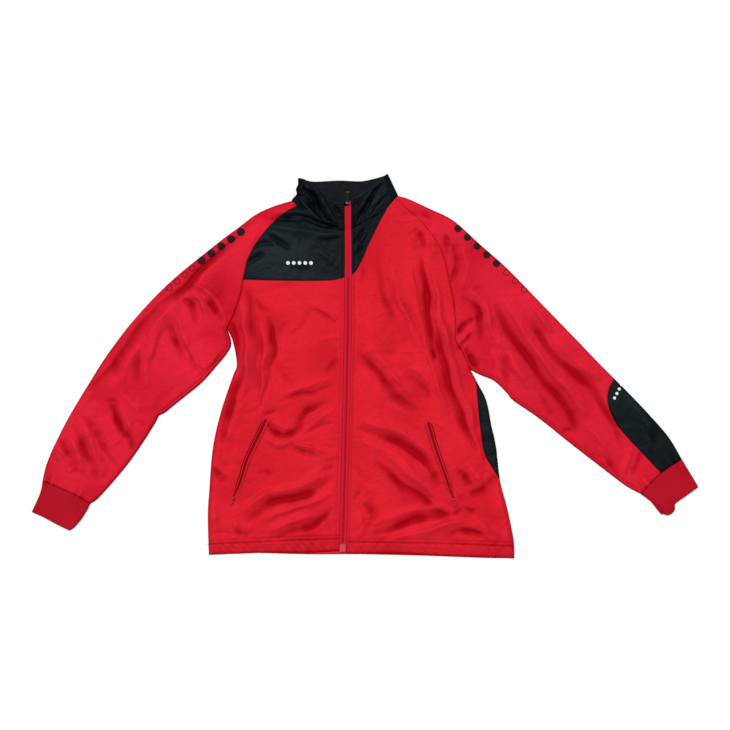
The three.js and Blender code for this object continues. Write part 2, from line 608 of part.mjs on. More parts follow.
// Slider body with the bridge that holds the tab's bar. The bar's middle is at the origin.
function sliderBody(half, reach, depth) {
  const top = -BAR.radius - SEAM;
  const body = new THREE.Shape();
  body.moveTo(-half * 0.55, -reach);
  body.lineTo(half * 0.55, -reach);
  body.quadraticCurveTo(half, -reach * 0.4, half, reach * 0.5);
  body.lineTo(half * 0.7, reach);
  body.lineTo(-half * 0.7, reach);
  body.lineTo(-half, reach * 0.5);
  body.quadraticCurveTo(-half, -reach * 0.4, -half * 0.55, -reach);
  const settings = { depth, bevelEnabled: false, curveSegments: 4 };
  const lower = new THREE.ExtrudeGeometry(body, settings).translate(0, 0, top - depth);
  const arch = new THREE.Shape();
  arch.moveTo(-3, top - 0.4);
  arch.lineTo(-3, 0.6);
  arch.quadraticCurveTo(-2.6, 2.1, 0, 2.1);
  arch.quadraticCurveTo(2.6, 2.1, 3, 0.6);
  arch.lineTo(3, top - 0.4);
  arch.lineTo(2.1, top - 0.4);
  arch.lineTo(2.1, 0.4);
  arch.quadraticCurveTo(1.9, 1.2, 0, 1.2);
  arch.quadraticCurveTo(-1.9, 1.2, -2.1, 0.4);
  arch.lineTo(-2.1, top - 0.4);
  const bridge = new THREE.ExtrudeGeometry(arch, { ...settings, depth: 2.4 });
  bridge.translate(0, 0, -1.2);
  bridge.rotateX(Math.PI / 2);
  bridge.rotateZ(Math.PI / 2);
  return fromSolid(toSolid(lower).add(toSolid(bridge)));
}

// Finished jacket
const jacket = new THREE.Group();

function add(name, geometry, color, roughness = 0.55, metalness = 0) {
  const mesh = new THREE.Mesh(geometry, new THREE.MeshStandardMaterial({ color, roughness, metalness }));
  mesh.name = name;
  jacket.add(mesh);
  return mesh;
}

// Stations that neighbouring pieces share
const HEM_RIGHT = -370; // the right front's hem, at the zip
const HEM_LEFT = -376; // the left front's hem, at the zip
const FOOT_RIGHT = 177.5; // the right yoke's foot, at the zip
const FOOT_LEFT = 181.8; // the left yoke's lowest point, at the zip
const sideRight = stations(SIDE_RIGHT, 19);
const raglanLowRight = stations(RAGLAN_LOW_RIGHT, 5);
const raglanHighRight = stations(RAGLAN_HIGH_RIGHT, 9);
const yokeFootRight = stations(YOKE_FOOT_RIGHT, 15);
const neckRight = stations(NECK_RIGHT, 15);
const sideLeft = stations(SIDE_LEFT, 16);
const sideSeamLeft = sideLeft.map(([x, y]) => [Math.min(x, seamX(SIDE_SEAM_LEFT, y)), y]);
const raglanLeft = stations(RAGLAN_LEFT, 16);
const yokeEdgeLeft = stations(YOKE_EDGE_LEFT, 9);
const neckLeft = stations(NECK_LEFT.slice(0, 4), 9);
const neckTipLeft = NECK_LEFT.slice(3);

add('back', plate(backOutline(), 0, CLOTH), RED);

add('front_right', upperLayer({
  low: stations([[zipX(HEM_RIGHT) - ZIP_HALF, HEM_RIGHT], [-115, -374], [-213.8, -374], [-313, -378]], 15),
  high: yokeFootRight,
  near: zipEdge(-1, HEM_RIGHT, FOOT_RIGHT, 24),
  far: joined(sideRight, raglanLowRight),
}), RED);

add('yoke_right', upperLayer({
  low: yokeFootRight,
  high: neckRight,
  near: zipEdge(-1, FOOT_RIGHT, 270, 9),
  far: raglanHighRight,
}), BLACK);

add('front_left', upperLayer({
  low: stations([[zipX(HEM_LEFT) + ZIP_HALF, HEM_LEFT], [60, -376], [191, -381], [299, -385.1]], 16),
  high: stations([[54, 324.5], [64, 325.5]], 16),
  near: joined(zipEdge(1, HEM_LEFT, FOOT_LEFT, 22), yokeEdgeLeft, neckTipLeft),
  far: joined(sideSeamLeft, raglanLeft),
}), RED);

add('yoke_left', upperLayer({
  low: reversed(yokeEdgeLeft),
  high: reversed(neckLeft),
  near: stations([[43, 311], [42, 313]], 4),
  far: zipEdge(1, FOOT_LEFT, 274.5, 4),
}), BLACK);

add('side_panel_left', sidePanel(sideLeft, sideSeamLeft), BLACK);

add('sleeve_right', sleeve({
  seam: joined(stations(UNDERARM_RIGHT, 14), raglanLowRight, raglanHighRight),
  fold: stations(SHOULDER_RIGHT, 28),
  foot: stations(CUFF_SEAM_RIGHT, 13),
  neck: stations([[-136, 321], [-146, 331]], 13),
}), RED);

const sleeveLeft = toSolid(sleeve({
  seam: joined(stations(UNDERARM_LEFT, 14), raglanLeft),
  fold: stations(SHOULDER_LEFT, 30),
  foot: stations(CUFF_SEAM_LEFT, 13),
  neck: stations([[64, 325.5], [66, 338]], 13),
}));
add('sleeve_left', fromSolid(sleeveLeft.subtract(insetColumn(SEAM / 2))), RED);
add('forearm_inset_left', fromSolid(sleeveLeft.intersect(insetColumn(-SEAM / 2))), BLACK);

add('cuff_right', cuff({
  seam: stations(CUFF_SEAM_RIGHT, 10),
  end: stations(CUFF_END_RIGHT, 10),
  inner: stations(CUFF_INNER_RIGHT, 4),
  outer: stations(CUFF_OUTER_RIGHT, 4),
}), RIB_RED, 0.7);
add('cuff_left', cuff({
  seam: stations(CUFF_SEAM_LEFT, 10),
  end: stations(CUFF_END_LEFT, 10),
  inner: stations(CUFF_INNER_LEFT, 4),
  outer: stations(CUFF_OUTER_LEFT, 4),
}), RIB_RED, 0.7);

add('collar', collar(neckRight, joined(neckLeft, neckTipLeft)), BLACK);

// Front zip
const TAPE_EDGE = ZIP_HALF - 2 * SEAM;
const TAPE_RISE = -CLOTH;
for (const [name, side, top] of [['zip_tape_right', -1, 329], ['zip_tape_left', 1, 335]]) {
  const edges = [side * SEAM, side * TAPE_EDGE].sort((a, b) => a - b);
  add(name, strip(zipRun(-373, top), edges.map((edge) => [edge, TAPE_RISE]), TAPE, collarLift), RED);
}
const COIL = 1.1; // thickness of the closed coil
const coilRise = TAPE_RISE + TAPE / 2 + COIL / 2 + SEAM;
const coilProfile = [[-COIL_HALF, coilRise], [0, coilRise + 0.3], [COIL_HALF, coilRise]];
add('zip_chain', strip(zipRun(-354, 319), coilProfile, COIL, collarLift), RED);

const boxOutline = [[-50.5, -371.5], [-39.2, -371.5], [-38.6, -356.5], [-49.6, -356.5]];
add('zip_box', plate(boxOutline, topFace(-44.5, -364) + TAPE_RISE + TAPE / 2 + SEAM, 3), PALE_RED, 0.4);

// Slider and pull tab at a place, with the tab lying along a heading in degrees from +Y.
function slider(names, [x, y, z], degrees, size, color) {
  const parts = [
    add(names.body, sliderBody(size.half, size.reach, size.depth), color, 0.35, 0.8),
    add(names.tab, pullTab(size.tab, size.tabHalf), color, 0.4, 0.7),
  ];
  for (const part of parts) {
    part.position.set(x, y, z);
    part.rotation.z = THREE.MathUtils.degToRad(degrees);
  }
}

const SLIDER_DEPTH = 2.2;
const HINGE_OVER_BASE = BAR.radius + SEAM + SLIDER_DEPTH; // tab's bar over the underside of its slider
const ZIP_TOP = 327; // where the front zip's slider is parked
const zipGround = topFace(zipX(ZIP_TOP), ZIP_TOP) + collarLift(ZIP_TOP) + TAPE_RISE + TAPE / 2;
const zipPlace = [zipX(ZIP_TOP), ZIP_TOP, zipGround + HINGE_OVER_BASE + SEAM];
const zipSize = { half: 4.6, reach: 6, depth: SLIDER_DEPTH, tab: 21, tabHalf: 3.3 };
slider({ body: 'zip_slider', tab: 'zip_pull' }, zipPlace, 0, zipSize, METAL);

// Pockets: a welt on the side away from the zip and the coil beside it, with the slider at the lower end.
const COIL_DROP = 0.6; // how much lower than its welt the coil lies
for (const [side, table, out] of [['right', POCKET_RIGHT, 1], ['left', POCKET_LEFT, -1]]) {
  const run = along(table);
  const weltRise = SEAM + CLOTH / 2 + 0.9; // clears the facets of the panel
  const welt = [[out * 1.4, weltRise], [out * 5, weltRise + 0.3], [out * 8.6, weltRise]];
  const coil = [[-out * 3.6, weltRise - COIL_DROP], [-out * 0.6, weltRise - COIL_DROP]];
  const order = (rows) => [...rows].sort((a, b) => a[0] - b[0]);
  const list = stations(table, 14);
  add(`pocket_welt_${side}`, strip(list, order(welt), CLOTH), RED);
  add(`pocket_chain_${side}`, strip(list.slice(0, 13), order(coil), TAPE), RED);
  const spot = run(0.985);
  const [dx, dy] = heading(run(0.9), spot);
  const place = [spot[0] + dx * 6 - out * dy * 2, spot[1] + dy * 6];
  slider({ body: `pocket_slider_${side}`, tab: `pocket_pull_${side}` },
    [place[0], place[1], topFace(...place) + HINGE_OVER_BASE + 2 * SEAM],
    THREE.MathUtils.radToDeg(Math.atan2(dy, dx)) - 90,
    { half: 3.8, reach: 4.6, depth: SLIDER_DEPTH, tab: 15, tabHalf: 2.9 },
    RED_METAL);
}

export default jacket;
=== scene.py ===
# %% [markdown]
# # A zip track jacket, laid flat
# The jacket lies on its back on a pale table, with its sleeves spread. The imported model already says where
# every sewn piece is, so this lesson only dresses it. Each soft piece becomes a thin knitted shell with its
# real creases. The zips get their coils, the hems their stitches, and the metal and plastic parts a finish.

import math

import bmesh
import bpy
import numpy as np
from mathutils import Matrix, Vector


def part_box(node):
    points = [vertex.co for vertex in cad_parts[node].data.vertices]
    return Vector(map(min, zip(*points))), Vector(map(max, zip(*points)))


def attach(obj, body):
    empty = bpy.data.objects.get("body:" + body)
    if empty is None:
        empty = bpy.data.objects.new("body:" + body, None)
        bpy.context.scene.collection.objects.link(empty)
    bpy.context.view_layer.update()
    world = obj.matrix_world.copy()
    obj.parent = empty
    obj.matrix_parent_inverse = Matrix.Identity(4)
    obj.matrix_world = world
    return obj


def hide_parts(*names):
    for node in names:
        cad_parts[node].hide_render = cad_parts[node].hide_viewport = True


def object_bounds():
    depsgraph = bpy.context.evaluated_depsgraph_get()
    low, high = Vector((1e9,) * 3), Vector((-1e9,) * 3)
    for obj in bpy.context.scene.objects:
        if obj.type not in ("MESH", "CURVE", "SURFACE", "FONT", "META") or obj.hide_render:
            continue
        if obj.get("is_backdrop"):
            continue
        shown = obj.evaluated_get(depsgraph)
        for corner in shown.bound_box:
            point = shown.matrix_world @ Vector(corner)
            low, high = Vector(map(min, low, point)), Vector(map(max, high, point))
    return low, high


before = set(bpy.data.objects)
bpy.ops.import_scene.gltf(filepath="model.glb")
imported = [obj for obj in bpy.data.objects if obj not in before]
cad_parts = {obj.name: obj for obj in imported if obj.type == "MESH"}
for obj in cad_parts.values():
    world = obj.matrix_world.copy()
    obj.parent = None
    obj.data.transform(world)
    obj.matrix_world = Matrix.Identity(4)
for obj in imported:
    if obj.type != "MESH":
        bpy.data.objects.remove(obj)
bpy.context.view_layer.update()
MM = 0.001
BODY = "jacket"
print("packed pieces:", len(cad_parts))

# %% [markdown]
# ## The camera
# The jacket is seen from straight above. A long lens a few metres up keeps the edges as straight as they
# are in the hand. One unit of the plan, 2 mm, is one pixel of a picture 730 pixels wide.

# %% Camera
STEP = 2.0  # mm for one square of the plan
PICTURE = 730  # squares across the picture
LENS, SENSOR = 80.0, 36.0
WORKING_HEIGHT = 8.0  # mm, where the scale of the picture is true
PICTURE_MIDDLE = 2.0  # mm up the jacket from the origin

camera_data = bpy.data.cameras.new("camera")
camera_data.lens = LENS
camera_data.sensor_width = SENSOR
camera = bpy.data.objects.new("camera", camera_data)
bpy.context.scene.collection.objects.link(camera)
camera.location = (0, PICTURE_MIDDLE * MM, (PICTURE * STEP * LENS / SENSOR + WORKING_HEIGHT) * MM)
bpy.context.scene.camera = camera
print("camera height in metres:", round(camera.location.z, 3))

# %% [markdown]
# ## Lines of the pattern
# A sewing pattern is a set of curves: side seams, raglan seams, necklines and hems. Each is kept as a short
# table of points in millimetres and drawn through them as a smooth curve. Neighbouring pieces read the same
# table, so their edges meet.

# %% Curves of the pattern
ZIP_LINE = [(-45, -384), (-44.4, -359), (-40, -200), (-37, -69), (-34, 80), (-33.6, 181), (-33.6, 231),
            (-34.6, 331)]
SIDE_RIGHT = [(-313, -378), (-315, -300), (-312, -249), (-305, -165), (-289, -93), (-265, -21), (-257, 3),
              (-264, 46), (-276, 75)]
RAGLAN_LOW_RIGHT = [(-276, 75), (-261, 109), (-249, 145), (-244, 173)]
RAGLAN_HIGH_RIGHT = [(-244, 173), (-234.5, 213), (-218, 245), (-193, 277.5), (-165, 304), (-136, 321)]
UNDERARM_RIGHT = [(-551, -276), (-531, -261), (-479, -201), (-445, -153), (-421, -115), (-412.5, -99),
                  (-402, -94), (-371, -69), (-327, -33), (-295, 3), (-277, 25), (-268, 45), (-276, 75)]
SHOULDER_RIGHT = [(-646, -231), (-635, -189), (-601, -117), (-559, -45), (-513, 27), (-457, 99),
                  (-387, 171), (-299, 243), (-251, 279), (-219, 303), (-185, 319), (-146, 331)]
SIDE_LEFT = [(299, -385.1), (298, -350), (285, -285), (271, -232), (263, -165), (253, -117), (243, -69),
             (225, -33), (212, -8)]
SIDE_SEAM_LEFT = [(299, -385.1), (298, -350), (285, -285), (272, -235), (255, -204), (239, -174),
                  (229.5, -113), (225, -63), (221.8, -33), (212, -8)]
RAGLAN_LEFT = [(212, -8), (205, 9), (193, 32), (181, 52), (181.8, 79), (176, 137), (169, 167), (163, 199),
               (151, 235), (131, 267), (107, 295), (83, 315.5), (61, 336)]
UNDERARM_LEFT = [(552, -256), (521, -239), (471, -201), (409, -153), (349, -105), (297, -69), (285, -55),
                 (259, -30), (229, -17), (212, -8)]
SHOULDER_LEFT = [(634.5, -187), (607, -141), (565, -93), (519, -45), (471, 3), (425, 51), (355, 123),
                 (285, 195), (231, 243), (177, 291), (129, 315), (95, 331), (80, 337), (65.5, 340.5)]
NECK_RIGHT = [(-40.4, 270), (-63.6, 276), (-85.6, 287), (-107.6, 300), (-129.6, 316.5), (-136, 321)]
NECK_LEFT = [(-27.6, 274.5), (2.4, 289.4), (24.4, 301), (42, 313), (53, 326)]
YOKE_FOOT_RIGHT = [(-41.2, 177.5), (-72, 171.4), (-150, 170.5), (-244, 173)]
YOKE_EDGE_LEFT = [(-26.4, 181.8), (-17, 192), (-3, 219), (7, 243), (19, 267), (31, 291), (43, 311)]
CUFF_SEAM_RIGHT = [(-551, -276), (-571, -263), (-587, -255), (-609, -245), (-627, -237), (-646, -231)]
CUFF_END_RIGHT = [(-592, -329), (-611, -320), (-630, -310), (-649, -300), (-667.5, -292.4)]
CUFF_INNER_RIGHT = [(-551, -276), (-558, -290), (-569, -307), (-581, -321), (-592, -329)]
CUFF_OUTER_RIGHT = [(-646, -231), (-650, -252), (-658, -272), (-667.5, -292.4)]
CUFF_SEAM_LEFT = [(552, -256), (570, -236), (590, -217), (612, -201), (634.5, -187)]
CUFF_END_LEFT = [(594, -290), (600, -297), (608, -298.4), (615.8, -294), (620.5, -286), (621, -275.6),
                 (645, -258), (668, -241.4)]
CUFF_INNER_LEFT = [(552, -256), (572, -268), (585, -281), (594, -290)]
CUFF_OUTER_LEFT = [(634.5, -187), (651, -213), (668, -241.4)]
INSET_EDGE = [(512, -6), (498.8, -25.8), (488.8, -45), (485.4, -65), (488.8, -86.2), (501.6, -113),
              (521, -138), (555, -174.6), (604, -226)]
POCKET_RIGHT = [(-199, -106), (-223, -157), (-238, -190), (-252, -236), (-264, -262)]
POCKET_LEFT = [(128, -112), (143, -165), (156, -202), (168, -238), (177, -264)]
COLLAR_EDGE_RIGHT = [(-40.6, 329), (-57, 330), (-75, 335), (-88, 346), (-101, 362), (-122, 373.5)]
COLLAR_EDGE_LEFT = [(-27.8, 336), (-14, 343), (4, 351), (20, 364), (36, 378)]
print("right side seam, points:", len(SIDE_RIGHT), "left sleeve's outer edge, points:", len(SHOULDER_LEFT))

# %% Smooth lines through the tables
def smooth(table, steps=10):
    """Points of the smooth curve through a table's rows."""
    rows = np.array(table, float)
    padded = np.vstack([rows[:1], rows, rows[-1:]])
    t = np.arange(steps)[:, None] / steps
    runs = []
    for p0, p1, p2, p3 in zip(padded[:-3], padded[1:-2], padded[2:-1], padded[3:]):
        bend = 2 * p0 - 5 * p1 + 4 * p2 - p3
        turn = 3 * (p1 - p2) + p3 - p0
        runs.append(0.5 * (2 * p1 + (p2 - p0) * t + bend * t * t + turn * t ** 3))
    return np.vstack(runs + [rows[-1:]])


def walk(points, shares):
    """Places at shares of the way along a line of points."""
    reach = np.concatenate([[0], np.cumsum(np.linalg.norm(np.diff(points, axis=0), axis=1))])
    goal = np.clip(shares, 0, 1) * reach[-1]
    return np.stack([np.interp(goal, reach, points[:, k]) for k in range(points.shape[1])], axis=-1)


def edge(*stretches):
    """One edge of a piece from several (points, weight) stretches, as a function of the share along it."""
    weights = np.array([weight for _, weight in stretches], float)
    starts = np.concatenate([[0], np.cumsum(weights)]) / weights.sum()

    def at(shares):
        shares = np.asarray(shares, float)
        places = np.zeros((len(shares), 2))
        for (points, _), low, high in zip(stretches, starts[:-1], starts[1:]):
            inside = (shares >= low - 1e-12) & (shares <= high + 1e-12)
            places[inside] = walk(points, (shares[inside] - low) / (high - low))
        return places

    return at


def edge_of(table):
    """Edge of a piece along one table of the pattern."""
    return edge((smooth(table), 1))


# %% The zip's line
ZIP_HALF = 7.2  # mm from the zip's middle to a front's edge
ZIP_HALF_AT = [(178, ZIP_HALF), (200, 6.6), (272, 6.4)]  # height on the jacket, half width there


def zip_x(y):
    """Place across the jacket of the zip's centre line."""
    return np.interp(y, [row[1] for row in ZIP_LINE], [row[0] for row in ZIP_LINE])


def off_zip(spots):
    """Distance of each spot from the zip's centre line."""
    return np.abs(spots[:, 0] - zip_x(spots[:, 1]))


def zip_half(y):
    """Half width of what shows of the zip, narrower over the yokes."""
    return np.interp(y, *zip(*ZIP_HALF_AT))


def zip_edge(side, low, high):
    """Edge of a front beside the zip."""
    y = np.linspace(low, high, 60)
    return np.stack([zip_x(y) + side * zip_half(y), y], axis=-1)


zip_steps = np.linalg.norm(np.diff(smooth(ZIP_LINE), axis=0), axis=1)
print("length of the zip line in mm:", round(float(zip_steps.sum())))

# %% [markdown]
# ## Creases
# Tricot falls into soft rolls rather than sharp pleats. Cloth simulation could make such rolls, but not these
# ones in their places. So every crease that shows is set down one by one on the plan's squared paper, 2 mm to
# a square. A row holds its line, its half width, its rise in millimetres and its lean. A rise below zero is a
# trough. The lean makes one flank steeper, as when cloth has slid to one side.

# %% Creases of the right front
CREASES_RIGHT_FRONT = [
    ([(247, 288), (253, 326), (261, 352), (258, 396)], 9, -3.6, 0.2),
    ([(236, 300), (246, 336), (244, 372), (231, 412), (224, 440)], 13, 6.5, 0.2),
    ([(231, 322), (237, 341), (237, 360)], 7, -3.0, 0.0),
    ([(245, 358), (234, 394), (225, 425), (220, 446)], 10, -4.6, -0.2),
    ([(262, 318), (263, 352), (261, 391), (257, 425)], 9, 5.0, 0.2),
    ([(269, 315), (273, 340), (271, 373), (260, 414)], 5.5, -3.8, -0.3),
    ([(279, 401), (296, 396), (316, 391), (336, 385)], 5, -2.4, 0.0),
    ([(282, 395), (300, 389), (334, 378)], 7, 2.0, 0.0),
    ([(294, 427), (309, 410), (330, 401)], 5.5, -3.2, 0.2),
    ([(300, 434), (316, 419), (336, 408)], 7, 2.6, 0.0),
    ([(268, 421), (280, 435), (292, 431), (301, 421)], 7, -4.0, 0.0),
    ([(258, 432), (276, 446), (290, 441), (300, 431)], 8, 2.6, 0.0),
    ([(306, 430), (319, 426), (333, 422)], 5, -2.2, 0.0),
    ([(290, 447), (306, 452), (321, 460)], 6, -3.2, 0.0),
    ([(286, 440), (306, 445), (326, 452)], 7, 2.6, 0.0),
    ([(258, 469), (275, 474)], 5, -2.0, 0.0),
    ([(316, 474), (333, 464)], 5, -2.8, 0.0),
    ([(246, 522), (264, 511), (280, 500), (304, 495), (319, 486), (335, 477)], 9, -5.4, 0.2),
    ([(240, 512), (262, 497), (284, 488), (308, 482), (333, 465)], 12, 5.2, 0.0),
    ([(258, 523), (282, 512), (310, 503), (336, 491)], 10, 4.2, 0.0),
    ([(268, 537), (301, 531), (317, 525), (333, 510)], 6, -4.2, 0.2),
    ([(262, 530), (292, 523), (318, 514)], 8, 3.4, 0.0),
    ([(234, 530), (251, 534)], 6, -3.0, 0.0),
    ([(230, 522), (254, 527)], 7, 2.2, 0.0),
    ([(212, 468), (225, 481)], 6, -3.0, 0.0),
    ([(263, 415), (270, 411), (277, 408)], 3.5, -3.0, 0.0),
    ([(267, 422), (272, 430), (279, 436)], 4, -3.4, 0.0),
    ([(272, 420), (282, 427), (292, 425)], 4.5, 2.0, 0.0),
    ([(326, 373), (335, 357)], 5, -1.8, 0.0),
    ([(311, 309), (326, 316), (337, 323)], 5, -1.8, 0.0),
    ([(306, 300), (324, 310), (338, 318)], 7, 1.6, 0.0),
    ([(275, 362), (286, 380), (297, 397)], 8, -1.6, 0.0),
    ([(216, 490), (214, 515), (216, 538)], 14, 2.6, 0.0),
    ([(284, 330), (280, 360), (284, 392)], 12, 1.6, 0.0),
    ([(254, 300), (262, 309), (270, 312)], 6, -1.6, 0.0),
]
print("creases of the right front:", len(CREASES_RIGHT_FRONT))

# %% Creases of the yokes and the collar
CREASES_RIGHT_YOKE = [
    ([(270, 219), (290, 218), (313, 222), (335, 227)], 7, -4.2, 0.1),
    ([(272, 213), (292, 210), (318, 218), (338, 224)], 6, 2.6, 0.0),
    ([(256, 228), (282, 226), (318, 232), (340, 236)], 10, 3.4, 0.0),
    ([(268, 237), (279, 242), (290, 250)], 6, -3.0, 0.0),
    ([(262, 231), (278, 236), (294, 243)], 6, 1.8, 0.0),
    ([(246, 263), (255, 259), (264, 254)], 6, -2.8, 0.0),
    ([(250, 250), (261, 245), (274, 245)], 5, -2.0, 0.0),
    ([(320, 238), (330, 240), (340, 238)], 6, -1.6, 0.0),
    ([(284, 266), (298, 270), (312, 268)], 9, -1.2, 0.0),
    ([(316, 250), (328, 258), (336, 268)], 9, 1.4, 0.0),
    ([(288, 212), (305, 216), (322, 222), (339, 230)], 3.5, -3.4, 0.0),
    ([(286, 217), (304, 221), (324, 228)], 3.5, 2.6, 0.0),
    ([(306, 203), (315, 209), (326, 220)], 3, -2.4, 0.0),
    ([(352, 246), (357, 237), (364, 227)], 3, -3.0, 0.0),
    ([(355, 250), (361, 240), (368, 230)], 3, 2.4, 0.0),
    ([(353, 258), (360, 250), (364, 246)], 2.5, -2.0, 0.0),
]
CREASES_COLLAR = [
    ([(297, 190), (306, 192), (312, 198), (317, 206), (324, 213), (332, 224)], 4.5, -4.6, 0.2),
    ([(313, 190), (323, 199), (331, 209), (336, 222)], 6, 4.4, 0.0),
    ([(299, 198), (305, 207), (316, 216), (324, 222)], 5, 3.0, 0.0),
    ([(307, 197), (310, 204), (316, 211)], 3, -2.6, 0.0),
    ([(302, 182), (310, 188), (318, 196), (324, 205)], 4.5, 3.0, 0.0),
    ([(336, 203), (340, 212), (341, 224)], 3.5, -2.2, 0.0),
    ([(300, 184), (306, 190), (310, 196)], 4, 2.0, 0.0),
    ([(356, 224), (362, 209), (372, 196), (386, 182)], 5, -4.0, 0.0),
    ([(361, 226), (369, 211), (379, 199), (391, 188)], 5.5, 3.6, 0.0),
    ([(353, 216), (358, 205), (368, 193), (381, 180)], 5, 2.8, 0.0),
    ([(364, 222), (373, 209), (388, 196)], 4, -2.6, 0.0),
    ([(353, 205), (361, 199), (371, 188)], 4, -2.0, 0.0),
]
print("creases of the yokes and the collar:", len(CREASES_RIGHT_YOKE) + len(CREASES_COLLAR))

# %% Creases of the left front
CREASES_LEFT_FRONT = [
    ([(412, 228), (419, 234), (425, 243), (424, 258)], 6, -3.2, 0.0),
    ([(404, 224), (412, 236), (414, 252)], 7, 2.4, 0.0),
    ([(430, 228), (434, 243), (434, 258)], 8, 2.6, 0.0),
    ([(420, 252), (424, 276), (427, 300), (430, 324), (434, 344), (437, 362)], 6.5, -6.0, -0.3),
    ([(433, 306), (438, 332), (445, 360), (451, 385), (460, 411), (468, 432), (479, 455)], 8, -6.6, -0.3),
    ([(428, 262), (432, 292), (436, 320), (442, 344)], 6, 3.4, 0.0),
    ([(434, 272), (442, 316), (450, 352), (462, 391), (477, 430)], 11, 5.0, 0.1),
    ([(427, 350), (433, 368), (440, 392), (448, 416)], 7, 3.2, 0.0),
    ([(431, 348), (435, 354), (432, 362)], 2.6, -3.2, 0.0),
    ([(410, 262), (414, 296), (424, 332), (428, 352)], 10, 3.0, 0.0),
    ([(379, 248), (382, 282), (390, 308), (394, 328)], 5, -1.8, 0.0),
    ([(388, 252), (393, 284), (401, 316), (410, 344)], 4, -1.6, 0.0),
    ([(386, 246), (390, 276), (399, 304), (404, 326)], 9, 2.2, 0.0),
    ([(401, 296), (413, 321), (423, 336), (428, 350)], 6, -2.8, 0.0),
    ([(392, 266), (398, 296), (408, 326), (420, 348)], 8, 1.6, 0.0),
    ([(358, 350), (374, 365), (387, 383), (400, 399), (417, 409)], 8, -3.8, 0.2),
    ([(366, 346), (384, 362), (398, 381), (412, 396)], 9, 3.2, 0.0),
    ([(356, 362), (372, 382), (390, 401), (410, 416)], 12, 2.4, 0.0),
    ([(404, 374), (417, 383), (426, 392), (430, 401)], 6, -1.8, 0.0),
    ([(410, 368), (424, 378), (434, 392)], 7, 2.0, 0.0),
    ([(356, 429), (377, 434), (395, 443), (416, 456), (429, 469), (440, 488)], 9, -4.8, 0.2),
    ([(358, 421), (382, 425), (402, 434), (424, 448), (438, 462)], 10, 3.6, 0.0),
    ([(362, 442), (388, 452), (408, 466), (424, 482)], 11, 3.2, 0.0),
    ([(376, 461), (397, 478), (421, 498), (439, 511), (451, 517)], 7.5, -3.6, 0.0),
    ([(384, 456), (404, 470), (426, 488), (442, 502)], 8, 2.6, 0.0),
    ([(353, 501), (359, 489)], 5, -2.0, 0.0),
    ([(362, 503), (373, 516), (368, 528)], 9, -3.0, 0.0),
    ([(356, 512), (364, 526), (362, 536)], 7, 2.2, 0.0),
    ([(372, 537), (400, 526), (426, 518), (453, 516)], 7, -4.6, -0.2),
    ([(368, 526), (396, 516), (424, 509), (446, 507)], 9, 3.2, 0.0),
    ([(384, 541), (412, 532), (440, 525), (466, 520)], 8, 4.6, 0.0),
    ([(442, 538), (460, 530), (478, 533), (492, 540)], 6, -4.0, 0.0),
    ([(470, 516), (484, 526), (498, 540)], 9, 3.4, 0.0),
    ([(452, 517), (460, 508)], 4, -2.4, 0.0),
    ([(461, 505), (474, 511)], 4.5, -2.6, 0.0),
    ([(456, 470), (465, 478), (472, 486)], 6, -3.2, 0.0),
    ([(466, 464), (476, 474), (480, 486)], 7, 2.6, 0.0),
    ([(468, 494), (484, 484), (497, 474)], 11, -3.0, 0.0),
    ([(500, 500), (505, 520), (508, 540)], 10, 2.2, 0.0),
    ([(470, 400), (479, 436), (486, 466)], 7, -2.2, 0.0),
    ([(437, 440), (446, 470), (456, 498)], 9, 2.4, 0.0),
    ([(366, 300), (372, 330), (368, 356)], 12, 1.6, 0.0),
    ([(356, 240), (362, 262), (360, 284)], 6, -1.4, 0.0),
    ([(398, 214), (416, 212), (434, 219)], 6, -2.0, 0.0),
    ([(392, 220), (412, 218), (432, 224)], 5, 1.6, 0.0),
]
print("creases of the left front:", len(CREASES_LEFT_FRONT))

